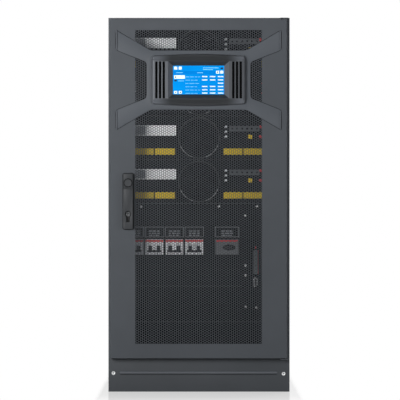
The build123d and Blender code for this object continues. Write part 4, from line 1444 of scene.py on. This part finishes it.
def slanted(axis, along, across):
    return (axis[0] - slant * along + slant * across, axis[1] - slant * along - slant * across)


def toggle_side(axis, tip, radius, opening):
    finger = tip + [(along, -across) for along, across in reversed(tip)]
    turns = [math.radians(a) for a in range(-opening, opening - 361, -20)]
    hub = [(radius * math.cos(a), radius * math.sin(a)) for a in turns]
    return [slanted(axis, along, across) for along, across in finger + hub]


axis_inset = 4
paddle_across, paddle_half, tie_half = 12.5, 5.4, 22
tie_corners = [(20.6, 2), (20, 2.7), (16, 2.7), (15.4, 2)]
tie_corners += [(along, -across) for along, across in reversed(tie_corners)]
for k in range(1, 5):
    node = f"breaker_lever_{k}"
    low, high = box_of(node)
    x = (low.x + high.x) / 2
    axis = (high.y - axis_inset, high.z - axis_inset)
    paddle = toggle_side(axis, [(17.5, 2.2), (18.6, 1)], 4, opening=40)
    paddles = bmesh.new()
    for side in (-1, 1):
        middle = x + side * paddle_across
        side_profile(paddles, paddle, middle - paddle_half, middle + paddle_half)
    add_piece(f"breaker_paddles_{k}", paddles, lever_black, node, [node])
    tie = bmesh.new()
    tie_outline = [slanted(axis, along, across) for along, across in tie_corners]
    side_profile(tie, tie_outline, x - tie_half, x + tie_half)
    add_piece(f"breaker_tie_bar_{k}", tie, lever_black, node)

# %% [markdown]
# The bypass switch has one low rocker behind its oval gate. It turns about the same kind of axis
# as the toggles, and its finger is short, so that it stays behind the gate frame when it is up
# or down.

# %% Bypass rocker
rocker_axis = (rocker_high.y - axis_inset, rocker_high.z - axis_inset)
rocker_x = (rocker_low.x + rocker_high.x) / 2
rocker_half = 13.6
rocker = bmesh.new()
rocker_outline = toggle_side(rocker_axis, [(8.6, 1.2), (9.2, 0.6)], 3.4, opening=30)
side_profile(rocker, rocker_outline, rocker_x - rocker_half, rocker_x + rocker_half)
add_piece("bypass_rocker", rocker, lever_black, "bypass_lever", ["bypass_lever"])
print("axis behind the switch's front:", rocker_axis[0] - front_of("bypass_switch"), "mm")

# %% [markdown]
# ## Interface plate
# A narrow plate at the right carries a strip of screw terminals and a nine-pin port.
# The strip is a row of equal poles, so one pole is drawn and repeated, each with a screw sunk
# into its round hole.

# %% Terminals
strip_low, strip_high = box_of("terminal_strip")
pole_count, pole_gap = 7, 0.3
pole_height = (strip_high.z - strip_low.z) / pole_count
poles = bmesh.new()
pole_screws = bmesh.new()
for k in range(pole_count):
    foot = strip_low.z + k * pole_height
    outline = rounded_box(strip_low.x, strip_high.x, foot + pole_gap,
                          foot + pole_height - pole_gap, 0.8)
    x, z = (strip_low.x + strip_high.x) / 2, foot + pole_height / 2
    hole = circle_outline(x, z, 2.9, 24)
    plate(poles, outline, strip_high.y, strip_low.y, 0.7, [hole])
    screw = [(2.6, strip_high.y), (2.6, strip_low.y + 2.2), (2.0, strip_low.y + 1.6)]
    lathe(pole_screws, x, z, screw, 20)
add_piece("terminal_poles", poles, switch_grey, "cabinet", ["terminal_strip"])
add_piece("terminal_screws", pole_screws, nickel, "cabinet")

# %% [markdown]
# The port is a D-shaped metal shell around a dark insert with two rows of pin holes. The shell is
# one outline minus the same outline moved inwards, and the insert fills what is left.
# A red line beside the strip and a red dot above it are printed on the plate.

# %% Port and red marks
port_low, port_high = box_of("serial_port")
port_taper, shell_wall, pin_pitch = 3, 0.9, 3.2
port_corners = [(port_low.x, port_low.z), (port_high.x, port_low.z + port_taper)]
port_corners += [(port_high.x, port_high.z - port_taper), (port_low.x, port_high.z)]
shell_outline = round_corners(port_corners, 2)
shell = bmesh.new()
plate(shell, shell_outline, port_high.y, port_low.y, 0.3, [inset(shell_outline, shell_wall)])
add_piece("port_shell", shell, zinc_bright, "cabinet", ["serial_port"])

port_x, port_z = (port_low.x + port_high.x) / 2, (port_low.z + port_high.z) / 2
pin_holes = []
for row_x, count in ((-1.5, 5), (1.5, 4)):
    for k in range(count):
        pin_z = port_z + (k - (count - 1) / 2) * pin_pitch
        pin_holes.append(circle_outline(port_x + row_x, pin_z, 0.7, 10))
insert = bmesh.new()
plate(insert, inset(shell_outline, shell_wall + 0.05), port_high.y, port_low.y + 1, 0, pin_holes)
add_piece("port_insert", insert, lever_black, "cabinet")

signal = bmesh.new()
red_line = box_outline(strip_high.x + 0.8, strip_high.x + 2.6, strip_low.z, strip_high.z)
lay(signal, red_line, strip_high.y, print_thickness)
lay(signal, circle_outline(strip_high.x - 6, strip_high.z + 8, 2.6, 20), strip_high.y, 0.5, 0.2)
add_piece("interface_red_marks", signal, red_print, "cabinet")

# %% [markdown]
# ## Screws
# Pan-head screws with a cross recess hold the panels. Only a few are in sight, but each catches a
# point of light through the perforated sheet, so they are worth making: a disc with a rounded
# edge and a cross-shaped hole.

# %% Panel screws
def pan_screw(bm, x, y, z, radius):
    a, b = radius * 0.08, radius * 0.34
    arm = [(a, b), (a, a), (b, a)]
    cross = arm + [(u, -v) for u, v in reversed(arm)] + [(-u, -v) for u, v in arm]
    cross += [(-u, v) for u, v in reversed(arm)]
    recess = [(x + u, z + v) for u, v in cross]
    lay(bm, circle_outline(x, z, radius, 28), y, radius * 0.42, radius * 0.4, [recess])


panel_places = ((-176.6, 562.7), (60.5, 562.7), (176.6, 562.7))
interface_places = ((141.4, 535), (142, 382), (142, 352), (142.5, 256), (175.4, 254))
ear_x, ear_screw_up = 233, 45
ear_levels = (335, 540, 120, 305)
panel_screw, plate_screw, ear_screw = 3.6, 3.4, 4.6
screws = bmesh.new()
for x, z in panel_places:
    pan_screw(screws, x, fascia_front, z, panel_screw)
for x, z in interface_places:
    pan_screw(screws, x, front_of("interface_plate"), z, plate_screw)
for level in module_levels:
    for x in (-ear_x, ear_x):
        for z in (level - ear_screw_up, level + ear_screw_up):
            pan_screw(screws, x, fascia_front, z, ear_screw)
for x in (-ear_x, ear_x):
    for z in ear_levels:
        pan_screw(screws, x, fascia_front, z, ear_screw)
add_piece("panel_screws", screws, zinc_bright, "cabinet")

# %% [markdown]
# ## Plinth cover
# The plinth closes with a coated cover: rounded lower corners, one long bead that stiffens it,
# and a bright screw at each end. The bead is a slim plate with a wide rounded edge, which is
# quicker than a bent sheet and looks the same from outside. The bead's lighter coat paints a
# highlight on it, and a dark strip under it paints its shadow.

# %% Plinth cover
cover_low, cover_high = box_of("plinth_cover")
cover_front = cover_high.y - 1.5
foot_corner = 4
quarter_turns = [math.radians(a) for a in range(0, 91, 15)]
foot_left = [(cover_low.x + foot_corner - foot_corner * math.cos(a),
              cover_low.z + foot_corner - foot_corner * math.sin(a)) for a in quarter_turns]
foot_right = [(cover_high.x + cover_low.x - x, z) for x, z in reversed(foot_left)]
cover_top = [(cover_high.x, cover_high.z), (cover_low.x, cover_high.z)]
cover = bmesh.new()
plate(cover, foot_left + foot_right + cover_top, cover_high.y, cover_front, 0.5)
add_piece("plinth_cover_sheet", cover, body_graphite,
          "cabinet", ["plinth_cover"])

bead_left, bead_right, shadow_strip_inset = -241, 238, 2
bead_foot, bead_top, shadow_strip_foot, shadow_strip_top = 55.4, 61.0, 51.3, 52.7
bead_roll = bmesh.new()
bead = rounded_box(bead_left, bead_right, bead_foot, bead_top, 2.7)
plate(bead_roll, bead, cover_front, cover_low.y, 1.9)
add_piece("plinth_bead", bead_roll, bead_painted_highlight_coat, "cabinet")
# A dark strip under the bead paints its shadow.
bead_painted_shadow = bmesh.new()
bead_shadow_strip = box_outline(bead_left + shadow_strip_inset, bead_right - shadow_strip_inset, shadow_strip_foot, shadow_strip_top)
lay(bead_painted_shadow, bead_shadow_strip, cover_front, 0.2)
add_piece("plinth_bead_painted_shadow", bead_painted_shadow, black_and_painted_shade, "cabinet")

plinth_screws = bmesh.new()
for x, z in ((-259.6, 56.5), (256.6, 54.5)):
    pan_screw(plinth_screws, x, cover_front, z, 6)
add_piece("plinth_screws", plinth_screws, zinc_bright, "cabinet")

# %% Boxes and finish
low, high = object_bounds()
print("dressed box", [round(v, 4) for v in (*low, *high)])
